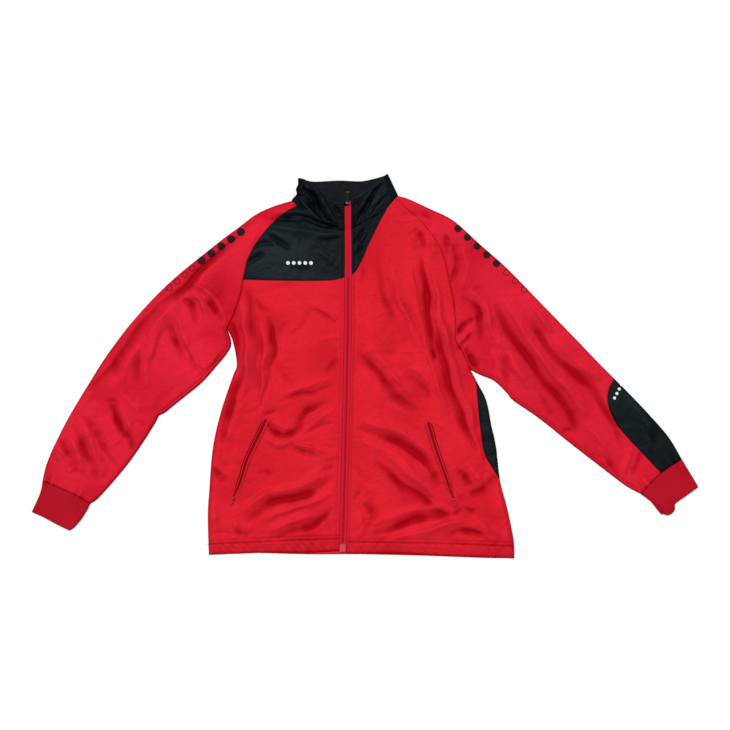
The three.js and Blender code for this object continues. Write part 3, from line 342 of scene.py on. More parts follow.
# %% Creases of the sleeves
CREASES_RIGHT_SLEEVE = [
    ([(246, 231), (221, 250), (193, 276), (174, 295), (151, 314), (132, 339), (113, 363), (90, 391)],
     9, -4.4, 0.0),
    ([(238, 222), (212, 240), (182, 266), (160, 289), (136, 315), (112, 346)], 11, 3.2, 0.0),
    ([(240, 248), (214, 264), (190, 290), (160, 318), (136, 350), (106, 394)], 14, 4.6, 0.0),
    ([(190, 281), (206, 288), (219, 304), (227, 331)], 8, 6.4, -0.3),
    ([(204, 299), (214, 308), (221, 322)], 7, -4.6, 0.0),
    ([(172, 299), (184, 300), (193, 306), (197, 329)], 7, -4.0, 0.0),
    ([(178, 288), (196, 296), (206, 312), (208, 330)], 7, 3.4, 0.0),
    ([(163, 316), (171, 329), (179, 345), (190, 380)], 7, -4.0, 0.0),
    ([(171, 312), (181, 328), (189, 346), (199, 370)], 7.5, 3.2, 0.0),
    ([(183, 338), (190, 357), (194, 378)], 5, -2.6, 0.0),
    ([(151, 322), (144, 338), (140, 356), (134, 385)], 8, -3.4, 0.0),
    ([(160, 326), (152, 346), (148, 366), (146, 388)], 8, 2.8, 0.0),
    ([(107, 402), (115, 416), (123, 430), (130, 440), (134, 454)], 7, -5.2, 0.25),
    ([(118, 404), (130, 422), (140, 436)], 7, 2.6, 0.0),
    ([(72, 424), (80, 440), (86, 454), (92, 466), (98, 482)], 7, -4.6, -0.2),
    ([(82, 414), (90, 428), (97, 442), (108, 458)], 7.5, -4.4, 0.2),
    ([(60, 440), (66, 450), (72, 461), (78, 474)], 6, -3.8, 0.0),
    ([(84, 430), (92, 448), (100, 464)], 6, 3.4, 0.0),
    ([(58, 446), (64, 458), (70, 471)], 7, 2.8, 0.0),
    ([(105, 454), (112, 460), (116, 470)], 4, -2.4, 0.0),
    ([(74, 440), (80, 454), (84, 472)], 7, 3.6, 0.0),
    ([(63, 457), (70, 463), (77, 472)], 5, -2.8, 0.0),
    ([(104, 400), (116, 402)], 4, -1.8, 0.0),
    ([(96, 398), (88, 422), (86, 440)], 11, 3.0, 0.0),
    ([(100, 452), (104, 466), (102, 478)], 5, -2.2, 0.0),
    ([(57, 440), (56, 456), (60, 470)], 7, 2.0, 0.0),
    ([(256, 216), (238, 226), (222, 240)], 7, 2.0, 0.0),
    ([(222, 350), (208, 366), (195, 381)], 3.5, -1.6, 0.0),
]
CREASES_LEFT_SLEEVE = [
    ([(494, 303), (505, 326), (523, 353), (541, 379), (558, 399), (571, 414), (575, 434)], 9, -5.2, 0.1),
    ([(503, 298), (516, 322), (534, 348), (553, 374), (572, 394), (584, 414)], 10, 4.6, 0.0),
    ([(486, 312), (496, 336), (513, 364), (530, 388), (548, 410)], 12, 4.8, 0.0),
    ([(515, 300), (532, 326), (550, 348), (572, 373), (591, 388), (602, 406), (616, 425), (622, 452)],
     8, -4.4, 0.0),
    ([(524, 296), (542, 322), (560, 344), (580, 366), (598, 382)], 12, 4.4, 0.0),
    ([(461, 294), (475, 307), (480, 322), (483, 341)], 7, -4.0, 0.0),
    ([(468, 288), (483, 300), (490, 318), (494, 338)], 8, 3.2, 0.0),
    ([(496, 332), (505, 352), (508, 373), (508, 392)], 6, -3.2, 0.0),
    ([(490, 346), (498, 364), (500, 384)], 7, 2.4, 0.0),
    ([(454, 336), (463, 326), (473, 319)], 5, -5.2, 0.2),
    ([(456, 349), (463, 341), (471, 334)], 4, -4.2, 0.0),
    ([(458, 344), (468, 334), (480, 328)], 6, 2.6, 0.0),
    ([(463, 347), (470, 357), (477, 370)], 6, -4.8, 0.0),
    ([(444, 232), (447, 244), (447, 258)], 5, -2.4, 0.0),
    ([(452, 244), (455, 262), (453, 284)], 6, -2.8, 0.0),
    ([(459, 240), (464, 262), (462, 288)], 7, 2.4, 0.0),
    ([(634, 474), (636, 463), (638, 451)], 5, -2.8, 0.0),
    ([(626, 474), (628, 460), (630, 448)], 5, 2.2, 0.0),
    ([(606, 456), (612, 466), (620, 476)], 6, -2.4, 0.0),
    ([(560, 433), (566, 428), (572, 430)], 4, -2.6, 0.0),
    ([(540, 330), (562, 356), (586, 376)], 9, 2.2, 0.0),
    ([(582, 420), (598, 438), (610, 452)], 8, 2.6, 0.0),
    ([(524, 380), (540, 398), (556, 416)], 7, -2.4, 0.0),
    ([(640, 420), (652, 436), (660, 448)], 7, -1.8, 0.0),
    ([(630, 400), (644, 420), (652, 444)], 7, 2.0, 0.0),
]
CREASES = (CREASES_RIGHT_FRONT + CREASES_RIGHT_YOKE + CREASES_COLLAR + CREASES_LEFT_FRONT
           + CREASES_RIGHT_SLEEVE + CREASES_LEFT_SLEEVE)
print("creases laid down by hand:", len(CREASES))

# %% [markdown]
# ## The section of a crease
# A crease is a hill or a valley along its line. Its height falls away from the line in a bell shape with a
# slightly sharp crest. It dies out and grows slimmer towards its two ends, and swells and sinks on the way,
# because no real crease is even.

# %% Distance from a line
def on_plan(squares):
    """Columns and rows of the squared paper as millimetres in the jacket's frame."""
    squares = np.array(squares, float)
    return np.stack([(squares[:, 0] - 364.5) * STEP, (365.5 - squares[:, 1]) * STEP], axis=-1)


def nearest(spots, line):
    """Distance of each spot from a line, the side it is on, and how far along the line it is."""
    start, span = line[:-1], np.diff(line, axis=0)
    offset = spots[:, None, :] - start[None]
    share = np.clip((offset * span).sum(2) / np.maximum((span ** 2).sum(1), 1e-9), 0, 1)
    gap = offset - share[..., None] * span
    reach = np.hypot(gap[..., 0], gap[..., 1])
    pick = reach.argmin(1)
    rows = np.arange(len(spots))
    side = np.sign(span[pick, 0] * gap[rows, pick, 1] - span[pick, 1] * gap[rows, pick, 0])
    return reach[rows, pick], side, (pick + share[rows, pick]) / len(span)


def close_to(spots, line, margin):
    """Which spots are within a margin of a line's box."""
    return np.all((spots > line.min(0) - margin) & (spots < line.max(0) + margin), axis=1)


sample = nearest(np.array([(30.0, 40.0)]), np.array([(0.0, 0.0), (60.0, 0.0)]))
print("a spot 40 mm from a line is measured as", round(float(sample[0][0]), 1), "mm")

# %% Shape of one crease
FADE_POWER = 2.4  # higher keeps a crease at full height nearer to its ends
END_WIDTH = 0.62  # share of its width that a crease keeps at its ends
CREST_POWER = 1.7  # 2 is a plain bell, and less has a sharper crest
TILT_RANGE, TILT_LIMIT = 0.5, 0.55  # how far one flank may be wider than the other
RISE_SCALE = 1.1
REACH_OF_CREASE = 2.4  # widths from its line, where a crease has ended


def crease_rise(spots, line, width, rise, lean):
    """Rise or fall that one crease gives at each spot."""
    line = smooth(line, 5)
    total = np.zeros(len(spots))
    inside = close_to(spots, line, REACH_OF_CREASE * width)
    if inside.any():
        reach, side, run = nearest(spots[inside], line)
        tilt = np.clip(lean + TILT_RANGE * math.sin(11 * rise + 5 * width), -TILT_LIMIT, TILT_LIMIT)
        fade = 1 - np.abs(2 * run - 1) ** FADE_POWER
        slim = width * (END_WIDTH + (1 - END_WIDTH) * fade)
        profile = np.exp(-((reach / (slim * (1 + tilt * side))) ** CREST_POWER))
        uneven = 0.84 + 0.22 * np.sin(8 * run + 7 * rise) + 0.14 * np.sin(23 * run + 3 * width)
        total[inside] = RISE_SCALE * rise * profile * uneven * fade
    return total


sample = crease_rise(np.array([(30.0, 1.0)]), [(0, 0), (30, 0), (60, 0)], 8, 4.0, 0.0)
print("a crease with a rise of 4 stands", round(float(sample[0]), 1), "mm high in its middle")

# %% [markdown]
# ## Small creases and unevenness
# Between the large creases the cloth has many short, faint ones. They are drawn by chance from a fixed seed,
# so they are the same every time. Each part of the jacket has its own main direction, the way its cloth is
# pulled. A few long, low waves keep the flat parts from looking pressed.

# %% Small creases
SMALL_ZONES = [  # two corners in mm, how many, main heading in radians
    ((-300, -380), (-50, 150), 80, 0.7),
    ((-20, -370), (290, 150), 100, -0.7),
    ((-620, -220), (-260, 240), 80, 0.9),
    ((220, -200), (620, 220), 80, -0.75),
    ((-240, 180), (-60, 300), 22, 0.1),
]
SMALL_LENGTH, SMALL_WIDTH = (26, 105), (2.8, 7.5)  # mm
STRAY, MOST_BOW = 0.7, 0.18  # spread of the headings, and bow as a share of the length


def small_creases():
    """Short faint creases between the large ones, in seeded places."""
    chance = np.random.default_rng(5)
    rows = []
    for (x0, y0), (x1, y1), count, heading in SMALL_ZONES:
        for _ in range(count):
            middle = np.array([chance.uniform(x0, x1), chance.uniform(y0, y1)])
            angle = heading + chance.normal(0, STRAY)
            length = chance.uniform(*SMALL_LENGTH)
            bow = chance.uniform(-MOST_BOW, MOST_BOW)
            half = np.array([math.cos(angle), math.sin(angle)]) * length / 2
            side = np.array([-half[1], half[0]]) * 2 * bow
            line = np.array([middle - half, middle + side, middle + half])
            width = chance.uniform(*SMALL_WIDTH)
            rows.append((line, width, chance.choice([-1, 1]) * chance.uniform(0.3, 0.9 + 1.2 / width), 0.0))
    return rows


SMALL_CREASES = small_creases()
print("small creases:", len(SMALL_CREASES))

# %% Long low waves
LONGEST_WAVE, WAVE_HEIGHT = 260, 0.32  # mm
SAG = np.random.default_rng(11)
WAVES = [(SAG.uniform(0, math.tau), SAG.uniform(0, math.tau), SAG.uniform(70, LONGEST_WAVE))
         for _ in range(26)]


def ripple(spots):
    """Faint unevenness of cloth that has been worn and laid down."""
    total = np.zeros(len(spots))
    for phase, angle, length in WAVES:
        across = spots[:, 0] * math.cos(angle) + spots[:, 1] * math.sin(angle)
        total += (length / LONGEST_WAVE) * np.sin(across * math.tau / length + phase)
    return total * WAVE_HEIGHT


def bell(value, width):
    """Bell shape, 1 where the value is 0."""
    return np.exp(-((value / width) ** 2))


def eased(value, low, high):
    """Smooth step from 0 at low to 1 at high."""
    t = np.clip((value - low) / (high - low), 0, 1)
    return t * t * (3 - 2 * t)


middle_wave = float(ripple(np.array([(0.0, 0.0)]))[0])
print("waves:", len(WAVES), "and together, in the middle of the jacket, in mm:", round(middle_wave, 2))

# %% Gathers above the cuffs and puckers in the hem
GATHER_HEIGHT, GATHER_REACH = 1.2, 13.0  # mm
GATHER_WAVES = (3.1, 1.9)  # mm along the seam for one radian of the gathers' two waves
PUCKER_HEIGHT = 0.6  # mm
PUCKER_AT, PUCKER_REACH = 13, 10  # mm above the hem's edge, and how far they spread
HEM_FALL = 3.4  # mm that the band slopes down to the table
HEM_EDGE = [(-313, -378), (-213, -374), (-115, -374), (-52, -370), (-37, -376), (60, -376), (191, -381),
            (299, -385)]
HEM_X, HEM_Y = zip(*HEM_EDGE)


def cuff_gathers(spots):
    """Short puckers where the sleeve is drawn into its cuff."""
    total = np.zeros(len(spots))
    for rows in (CUFF_SEAM_RIGHT, CUFF_SEAM_LEFT):
        line = smooth(rows)
        inside = close_to(spots, line, 60)
        if inside.any():
            reach, _, run = nearest(spots[inside], line)
            length = np.linalg.norm(line[-1] - line[0])
            wave = np.sin(run * length / GATHER_WAVES[0]) + 0.6 * np.sin(run * length / GATHER_WAVES[1] + 1.0)
            swell = GATHER_HEIGHT * (0.6 + 0.4 * np.sin(run * 9))
            total[inside] += swell * wave * bell(reach, GATHER_REACH)
    return total


def hem_puckers(spots):
    """Small slanting puckers in the turned-up band of the hem, from -1 to 1."""
    x, y = spots[:, 0], spots[:, 1]
    over = y - np.interp(x, HEM_X, HEM_Y)
    waves = 0.6 * np.sin((x + 0.9 * y) / 2.4 + 1.5 * np.sin(x / 31)) + 0.4 * np.sin((x - 0.5 * y) / 4.1)
    return waves * bell(over - PUCKER_AT, PUCKER_REACH) * (0.65 + 0.35 * np.sin(x / 23 + 1.0))


def hem_fall(spots):
    """The hem's turned-up band slopes down to the table."""
    over = spots[:, 1] - np.interp(spots[:, 0], HEM_X, HEM_Y)
    return -HEM_FALL * (1 - eased(over, -2, 25)) + PUCKER_HEIGHT * hem_puckers(spots)


sample = hem_fall(np.array([(-200.0, -372.0), (-200.0, -300.0)]))
print("the hem lies", round(float(sample[1] - sample[0]), 1), "mm below the cloth above it")

# %% All the folds together
TIGHT, DEEP = 0.92, 1.22  # how narrow and how deep the listed creases are cut
YOKE_TIGHT, YOKE_DEEP = 0.7, 0.5  # the same for the right yoke
AT_ZIP = 0.15  # share of a fold's height that is left beside the zip


def wandering(spots):
    """Spots moved a few millimetres, so that no crease keeps a drawn, even line."""
    x, y = spots[:, 0], spots[:, 1]
    wide_x = 2.4 * np.sin(x / 19 + 1.3 * np.sin(y / 31)) + 1.5 * np.sin(y / 11 + 0.7 + x / 37)
    wide_y = 2.2 * np.sin(y / 21 + 1.1 * np.sin(x / 27)) + 1.5 * np.sin(x / 12 + 2.1 - y / 41)
    moved = spots + np.stack([wide_x, wide_y], axis=-1)
    x, y = moved[:, 0], moved[:, 1]
    fine_x = 1.3 * np.sin(y / 5.6 + 2.1 * np.sin(x / 11.3 + y / 29))
    fine_y = 1.3 * np.sin(x / 6.1 + 1.9 * np.sin(y / 12.1 - x / 23))
    strength = 0.35 + 0.3 * np.sin(x / 33 + y / 47)
    return moved + strength[:, None] * np.stack([fine_x, fine_y], axis=-1)


def folds_at(spots):
    """Rise above or fall below the flat cloth that all the creases give together."""
    folds = ripple(spots) + cuff_gathers(spots)
    moved = wandering(spots)
    for squares, width, rise, lean in CREASES:
        folds += crease_rise(moved, on_plan(squares), TIGHT * width, DEEP * rise, lean)
    for squares, width, rise, lean in CREASES_RIGHT_YOKE:
        folds += crease_rise(moved, on_plan(squares), YOKE_TIGHT * width, YOKE_DEEP * rise, lean)
    for row in SMALL_CREASES:
        folds += crease_rise(moved, *row)
    return folds * (AT_ZIP + (1 - AT_ZIP) * eased(off_zip(spots), 6, 24))


plan = np.stack(np.meshgrid(np.linspace(-300, 280, 60), np.linspace(-360, 160, 60)), axis=-1)
folds = folds_at(plan.reshape(-1, 2))
print("folds of the fronts from", round(float(folds.min()), 1), "to", round(float(folds.max()), 1), "mm")

# %% [markdown]
# ## The upper layer's height
# Two layers of cloth lie on each other, with a little air between them. The upper one comes down to the
# lower one along the side seams, sinks a little along each row of topstitching, and lies flat at the zip and
# under each slider. Every piece of the upper layer asks this one function for its height, so neighbours
# agree at their seams.

# %% Height of the upper layer
LOFT = 7.4  # mm, flat parts of the upper layer
FLOOR = 2.7  # mm, as low as a trough can sink onto the lower layer
SOFTEN = 1.6  # mm, how gently a trough meets that floor
RIM_TOP, RIM_REACH = 2.5, 12.0  # mm, top of the pinched edge of a side seam, and how far in it rises
WELT = 6.0  # mm in from the underarm edge, where the seam's line is pressed in
RIMS = [(smooth(rows), welted, fades) for rows, welted, fades in (
    (SIDE_RIGHT, 0.0, 0.0), (UNDERARM_RIGHT, 1.4, 0.5), (UNDERARM_LEFT, 1.2, 0.0), (SIDE_LEFT[:4], 0.0, 0.0))]
HEM_STITCH = [smooth(on_plan(rows)) for rows in (
    [(205, 544), (265, 541), (301, 539.6), (338.5, 538.5)],
    [(347.6, 541.4), (427, 542.6), (513.5, 545.8)])]
FRONT_STITCH = 13.4  # mm from the zip's middle to the topstitching beside it
NECK_TOP = 330  # mm, where that stitching ends
UNDER_SLIDER = 0.7  # mm that the cloth lies below a pocket slider
HEM_GROOVE = (1.0, 1.7)  # mm, depth and half width of the groove along the hem's stitches
FRONT_GROOVE = (0.5, 1.3)  # mm, the same beside the zip
FRONT_ROLL = (0.5, 1.8)  # mm, height and half width of the soft roll between those stitches and the zip


def low_corner(node):
    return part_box(node)[0]


ANCHORS = [  # place across and up, radius, height of the cloth there, all in mm
    (-34.6, 327.0, 16.0, 6.6),
    (-44.5, -364.0, 16.0, 6.8),
    (-263.8, -265.1, 15.0, low_corner("pocket_slider_right")[2] / MM - UNDER_SLIDER),
    (176.3, -267.4, 15.0, low_corner("pocket_slider_left")[2] / MM - UNDER_SLIDER),
]


def ground(places):
    """Height in mm of the upper layer's outer face, for an array of places in mm."""
    places = np.asarray(places, float)
    spots = places.reshape(-1, 2)
    swell = LOFT - FLOOR + folds_at(spots)
    from_zip = off_zip(spots)
    height = FLOOR + 0.5 * (swell + np.sqrt(swell ** 2 + SOFTEN ** 2))
    for x, y, radius, level in ANCHORS:
        near = 1 - eased(np.hypot(spots[:, 0] - x, spots[:, 1] - y), 0.5 * radius, 1.6 * radius)
        height += (level - height) * near
    for line in HEM_STITCH:
        inside = close_to(spots, line, 30)
        if inside.any():
            reach, _, _ = nearest(spots[inside], line)
            height[inside] -= HEM_GROOVE[0] * bell(reach, HEM_GROOVE[1])
    height += hem_fall(spots)
    below_neck = spots[:, 1] < NECK_TOP
    height -= FRONT_GROOVE[0] * bell(from_zip - FRONT_STITCH, FRONT_GROOVE[1]) * below_neck
    height += FRONT_ROLL[0] * bell(from_zip - FRONT_STITCH + 4, FRONT_ROLL[1]) * below_neck
    away = np.full(len(spots), np.inf)
    for line, welted, fades in RIMS:
        inside = close_to(spots, line, RIM_REACH)
        if inside.any():
            reach, _, run = nearest(spots[inside], line)
            away[inside] = np.minimum(away[inside], reach)
            height[inside] -= welted * bell(reach - WELT, 1.2) * eased(run, fades - 0.1, fades)
    arch = np.clip(away / RIM_REACH, 0, 1)
    height = RIM_TOP + (height - RIM_TOP) * np.sqrt(1 - (1 - arch) ** 2)
    return height.reshape(places.shape[:-1])


plan = np.stack(np.meshgrid(np.linspace(-600, 600, 121), np.linspace(-370, 330, 71)), axis=-1)
heights = ground(plan)
print("upper layer from", round(float(heights.min()), 1), "to", round(float(heights.max()), 1), "mm")

# %% [markdown]
# ## Finishes
# The body is a tricot: a warp knit with fine ribs on its face and a soft satin shine. Polyester reflects in
# its own colour, so the red cloth gets its shine from a little Metallic, and hardly any white highlight. Its
# colour drifts a little from place to place. The cuffs are a matt rib knit, the zips have woven tapes and
# nylon coils, and the sliders are lacquered metal. All of it is worked out by nodes from each piece's own
# cloth map, its place, or the depth of its folds, so nothing is painted on from a picture. The depth of the
# folds paints shade into the troughs and a highlight onto the ridges, and the coil, the front slider and
# the pocket bags carry some painted light and shade as well.

# %% Node helper
WAVE_PERIOD = math.tau / 20  # length of one wave of the Wave Texture at scale 1
COMPARE_HALF = 1.3  # mm, half width of a stripe picked out by COMPARE
UPPER_SIDE = 1.5  # mm, prints are only on what lies above this height


class Finish:
    """A material under construction, with short ways to add and join its nodes."""

    def __init__(self, name, colour, roughness, metallic=0.0, gloss=0.1):
        self.material = bpy.data.materials.new(name)
        self.material.use_nodes = True
        self.tree = self.material.node_tree
        self.shader = self.tree.nodes["Principled BSDF"]
        self.material.diffuse_color = (*colour, 1)
        self.shader.inputs["Roughness"].default_value = roughness
        self.shader.inputs["Metallic"].default_value = metallic
        self.shader.inputs["Specular IOR Level"].default_value = gloss
        self.coordinates = self.tree.nodes.new("ShaderNodeTexCoord")

    def node(self, kind, **settings):
        made = self.tree.nodes.new(kind)
        for key, value in settings.items():
            if key in made.inputs:
                made.inputs[key].default_value = value
            else:
                setattr(made, key, value)
        return made

    def join(self, source, target):
        self.tree.links.new(source, target)

    def noise(self, scale, detail=2.0, where="Object", stretch=(1, 1, 1)):
        mapping = self.node("ShaderNodeMapping")
        mapping.inputs["Scale"].default_value = stretch
        self.join(self.coordinates.outputs[where], mapping.inputs["Vector"])
        made = self.node("ShaderNodeTexNoise", Scale=scale, Detail=detail)
        self.join(mapping.outputs["Vector"], made.inputs["Vector"])
        return made.outputs["Fac"]

    def bands(self, pitch, direction="X", where="UV"):
        made = self.node("ShaderNodeTexWave", bands_direction=direction, Scale=WAVE_PERIOD / pitch)
        self.join(self.coordinates.outputs[where], made.inputs["Vector"])
        return made.outputs["Fac"]

    def maths(self, operation, first, second=None):
        made = self.node("ShaderNodeMath", operation=operation)
        made.inputs[2].default_value = COMPARE_HALF * MM
        for socket, value in zip(made.inputs, (first, second)):
            if value is None:
                continue
            if isinstance(value, (int, float)):
                socket.default_value = value
            else:
                self.join(value, socket)
        return made.outputs["Value"]

    def weighted(self, *parts):
        """Sum of several values, each times its weight."""
        total = None
        for value, weight in parts:
            term = value if weight == 1 else self.maths("MULTIPLY", value, weight)
            total = term if total is None else self.maths("ADD", total, term)
        return total

    def fold(self):
        """How far the cloth is sunk or raised here, as stored at its corners: painted shade and highlight."""
        return self.node("ShaderNodeAttribute", attribute_name="fold").outputs["Fac"]

    def blend(self, share, first, second):
        made = self.node("ShaderNodeMix", data_type="RGBA")
        for socket, value in zip((made.inputs["Factor"], made.inputs["A"], made.inputs["B"]),
                                 (share, first, second)):
            if isinstance(value, (int, float)):
                socket.default_value = value
            elif isinstance(value, tuple):
                socket.default_value = (*value, 1)
            else:
                self.join(value, socket)
        return made.outputs["Result"]

    def along(self, start, heading):
        """Distance in metres of the place from a start, measured along a heading in the plan."""
        made = self.node("ShaderNodeVectorMath", operation="DOT_PRODUCT")
        made.inputs[1].default_value = (*heading, 0)
        self.join(self.coordinates.outputs["Object"], made.inputs[0])
        return self.maths("SUBTRACT", made.outputs["Value"], float(np.dot(start, heading)))

    def disc_row(self, start, end, count, radius, hollow=0.0):
        """Mask of a row of printed discs on the upper side, from one place in mm to another."""
        start, end = np.array(start) * MM, np.array(end) * MM
        pitch = float(np.linalg.norm(end - start)) / (count - 1)
        heading = (end - start) / np.linalg.norm(end - start)
        run = self.along(start, heading)
        across = self.along(start, (-heading[1], heading[0]))
        number = self.maths("ROUND", self.maths("DIVIDE", run, pitch))
        number = self.maths("MINIMUM", self.maths("MAXIMUM", number, 0.0), float(count - 1))
        off = self.maths("SUBTRACT", run, self.maths("MULTIPLY", number, pitch))
        reach = self.maths("SQRT", self.maths("ADD", self.maths("MULTIPLY", off, off),
                                              self.maths("MULTIPLY", across, across)))
        mask = self.maths("LESS_THAN", reach, radius * MM)
        if hollow:
            mask = self.maths("MULTIPLY", mask, self.maths("GREATER_THAN", reach, hollow * MM))
        split = self.node("ShaderNodeSeparateXYZ")
        self.join(self.coordinates.outputs["Object"], split.inputs["Vector"])
        return self.maths("MULTIPLY", mask, self.maths("GREATER_THAN", split.outputs["Z"], UPPER_SIDE * MM))

    def colour(self, socket):
        self.join(socket, self.shader.inputs["Base Color"])

    def bump(self, height, distance, strength=1.0):
        made = self.node("ShaderNodeBump", Strength=strength, Distance=distance)
        self.join(height, made.inputs["Height"])
        self.join(made.outputs["Normal"], self.shader.inputs["Normal"])


def tinted(colour, amount):
    return tuple(min(max(c * amount, 0), 1) for c in colour)


print("a colour made half as bright:", tinted((0.6, 0.2, 0.1), 0.5))

# %% [markdown]
# ## Tricot
# A fold in thin polyester looks much darker and deeper in colour than its height alone would shade it,
# because the light bounces from red to red inside it. Each cloth piece therefore carries a number called
# fold at every corner, below zero in a trough and above zero on a ridge. The finish reads it and paints
# shade into the troughs as a deep red, and a painted highlight onto the ridges, which makes them a little
# paler.

# %% The finish of a warp knit
WALE, COURSE = 0.9, 1.0  # mm from one row of loops to the next, across and along
RIDGE_HIGHLIGHT = 3.2  # brightness of the painted highlight on a ridge, against the cloth's own
# How far a trough marked -1 is blended into its painted shade colour.
TROUGH_SHADE_SHARE = 0.9
PATCH_SCALE, MOTTLE_SCALE, SLUB_SCALE, RUMPLE_SCALE = 14, 170, 420, 46.0  # noise, in lumps for each metre
KNIT_DEPTH = 0.07  # mm


def tricot(name, colour, trough_shade, roughness, gloss, satin=0.0, drift=0.22, lift=0.12, prints=()):
    """Warp knit: fine lengthwise wales, uneven colour, painted shade in troughs, painted highlight on ridges.
    """
    cloth = Finish(name, colour, roughness, metallic=satin, gloss=gloss)
    patches = cloth.noise(PATCH_SCALE, 4.0)
    mottle = cloth.noise(MOTTLE_SCALE, 3.0)
    slubs = cloth.noise(SLUB_SCALE, 2.0, where="UV", stretch=(1, 0.35, 1))
    share = cloth.weighted((patches, 0.45), (mottle, 0.35), (slubs, 0.2))
    fold = cloth.fold()
    tone = cloth.blend(share, tinted(colour, 1 - drift), tinted(colour, 1 + drift))
    # Painted highlight on the ridges, then painted shade in the troughs, both read from the fold number.
    tone = cloth.blend(cloth.maths("MULTIPLY", fold, lift), tone, tinted(colour, RIDGE_HIGHLIGHT))
    tone = cloth.blend(cloth.maths("MULTIPLY", fold, -TROUGH_SHADE_SHARE), tone, trough_shade)
    for ink, rows in prints:
        for row in rows:
            tone = cloth.blend(cloth.disc_row(*row), tone, ink)
    cloth.colour(tone)
    knit = cloth.weighted((cloth.bands(WALE * MM), 1), (cloth.bands(COURSE * MM, "Y"), 0.4))
    rumple = cloth.node("ShaderNodeTexNoise", Scale=RUMPLE_SCALE, Detail=3.0, Distortion=1.4)
    cloth.join(cloth.coordinates.outputs["Object"], rumple.inputs["Vector"])
    grain = cloth.weighted((slubs, 1.6), (mottle, 6.0), (rumple.outputs["Fac"], 24.0))
    cloth.bump(cloth.maths("ADD", knit, grain), KNIT_DEPTH * MM, 0.7)
    return cloth


# %% Colours of the jacket
RED = (0.612, 0.0126, 0.0255)
SLEEVE_RED = (0.620, 0.0128, 0.0310)
# Painted shade: the deep red that the red cloth's troughs turn to.
RED_TROUGH_SHADE = (0.33, 0.0004, 0.0040)
RIB_RED = (0.450, 0.0060, 0.0190)
ZIP_RED = (0.600, 0.0065, 0.0260)
# Red of the pocket bags, darkened as painted shade inside the openings.
SHADED_LINING_RED = (0.240, 0.0010, 0.0035)
BLACK = (0.0047, 0.0083, 0.0103)
COLLAR_BLACK = (0.0021, 0.0039, 0.0051)
# Coil below the yoke, painted darker as shade in the channel between the fronts.
COIL_CHANNEL_SHADE_RED = (0.36, 0.003, 0.010)
LACQUER_RED = (0.36, 0.008, 0.022)
POCKET_TAPE_RED = (0.50, 0.0070, 0.0200)
PALE_PINK = (0.60, 0.055, 0.095)
PRINT_DARK, PRINT_WHITE = (0.034, 0.012, 0.016), (0.80, 0.80, 0.80)
# The pale metal colour is the pull tab's paler tip and a painted highlight on the slider.
METAL_DARK, METAL_PALE = (0.005, 0.005, 0.007), (0.16, 0.165, 0.17)
print("the reds, from the brightest channel:", sorted(c[0] for c in (RED, RIB_RED, ZIP_RED, SHADED_LINING_RED)))

# %% [markdown]
# ## The knitted cloths and their prints
# Rows of plain discs and rings are printed on the sleeves, and small white ones on the chest and the
# forearm. A print lies flat in the cloth's colour, so it is a mask in the finish and not a raised form. Each
# row is given by its two ends in millimetres, how many discs it has, and their radius. A ring has a hollow.

# %% Knitted cloths
SATIN, RED_ROUGH, RED_GLOSS = 0.22, 0.6, 0.01
BLACK_ROUGH, BLACK_GLOSS, BLACK_DRIFT = 0.42, 0.04, 0.3
BLACK_TROUGH_SHADE = 0.2  # brightness of the painted shade in a black trough, against the cloth's own
SLEEVE_DISCS = [((-248, 268), (-327, 211), 5, 8.2), ((186, 275), (263, 205), 5, 7.6),
                ((-346, 196), (-391, 156), 4, 6.4, 5.0), ((283, 187), (318, 153), 3, 6.4, 5.0)]
CHEST_DISCS = [((-154, 206), (-108, 206), 5, 3.6)]
FOREARM_DISCS = [((499, -64), (513, -37), 4, 3.0)]
red_tricot = tricot("red_tricot", RED, RED_TROUGH_SHADE, RED_ROUGH, RED_GLOSS, satin=SATIN)
sleeve_tricot = tricot("sleeve_tricot", SLEEVE_RED, RED_TROUGH_SHADE, RED_ROUGH, RED_GLOSS, satin=SATIN,
                       prints=[(PRINT_DARK, SLEEVE_DISCS)])
back_tricot = tricot("back_tricot", tinted(RED, 1.05), RED_TROUGH_SHADE, 0.8, RED_GLOSS)
# The black cloths get a stronger painted highlight on their ridges (lift), and the collar the strongest.
black_tricot = tricot("black_tricot", BLACK, tinted(BLACK, BLACK_TROUGH_SHADE), BLACK_ROUGH, BLACK_GLOSS,
                      drift=BLACK_DRIFT, lift=0.8, prints=[(PRINT_WHITE, CHEST_DISCS + FOREARM_DISCS)])
collar_tricot = tricot("collar_tricot", COLLAR_BLACK, tinted(COLLAR_BLACK, BLACK_TROUGH_SHADE), BLACK_ROUGH,
                       BLACK_GLOSS, drift=BLACK_DRIFT, lift=2.0)
print("knitted cloths:", len(bpy.data.materials))

# %% Rib knit of the cuffs
RIB_ROW = 0.65  # mm
rib = Finish("red_rib", RIB_RED, 0.85, gloss=0.08)
rib_share = rib.weighted((rib.noise(30, 3.0), 0.6), (rib.noise(500, 2.0), 0.4))
rib_tone = rib.blend(rib_share, tinted(RIB_RED, 0.84), tinted(RIB_RED, 1.14))
# Painted shade: the rib turns deep red where its folds, edges and seams are marked.
rib.colour(rib.blend(rib.maths("MULTIPLY", rib.fold(), -0.8), rib_tone, RED_TROUGH_SHADE))
rib.bump(rib.maths("ADD", rib.bands(RIB_ROW * MM, "Y"), rib.noise(900, 2.0)), 0.12 * MM, 0.6)
print("rows of the rib knit in 10 cm:", round(100 / RIB_ROW))

# %% Thread, tape, metal and plastic
YOKE_FOOT = 178  # mm up the jacket, where the chest yoke starts; below it the coil gets painted shade
TAB_TOP, COLLAR_OF_SLIDER = 347.0, 325.6  # mm up the jacket: a paler tab tip above the first, a painted highlight on the slider at the second


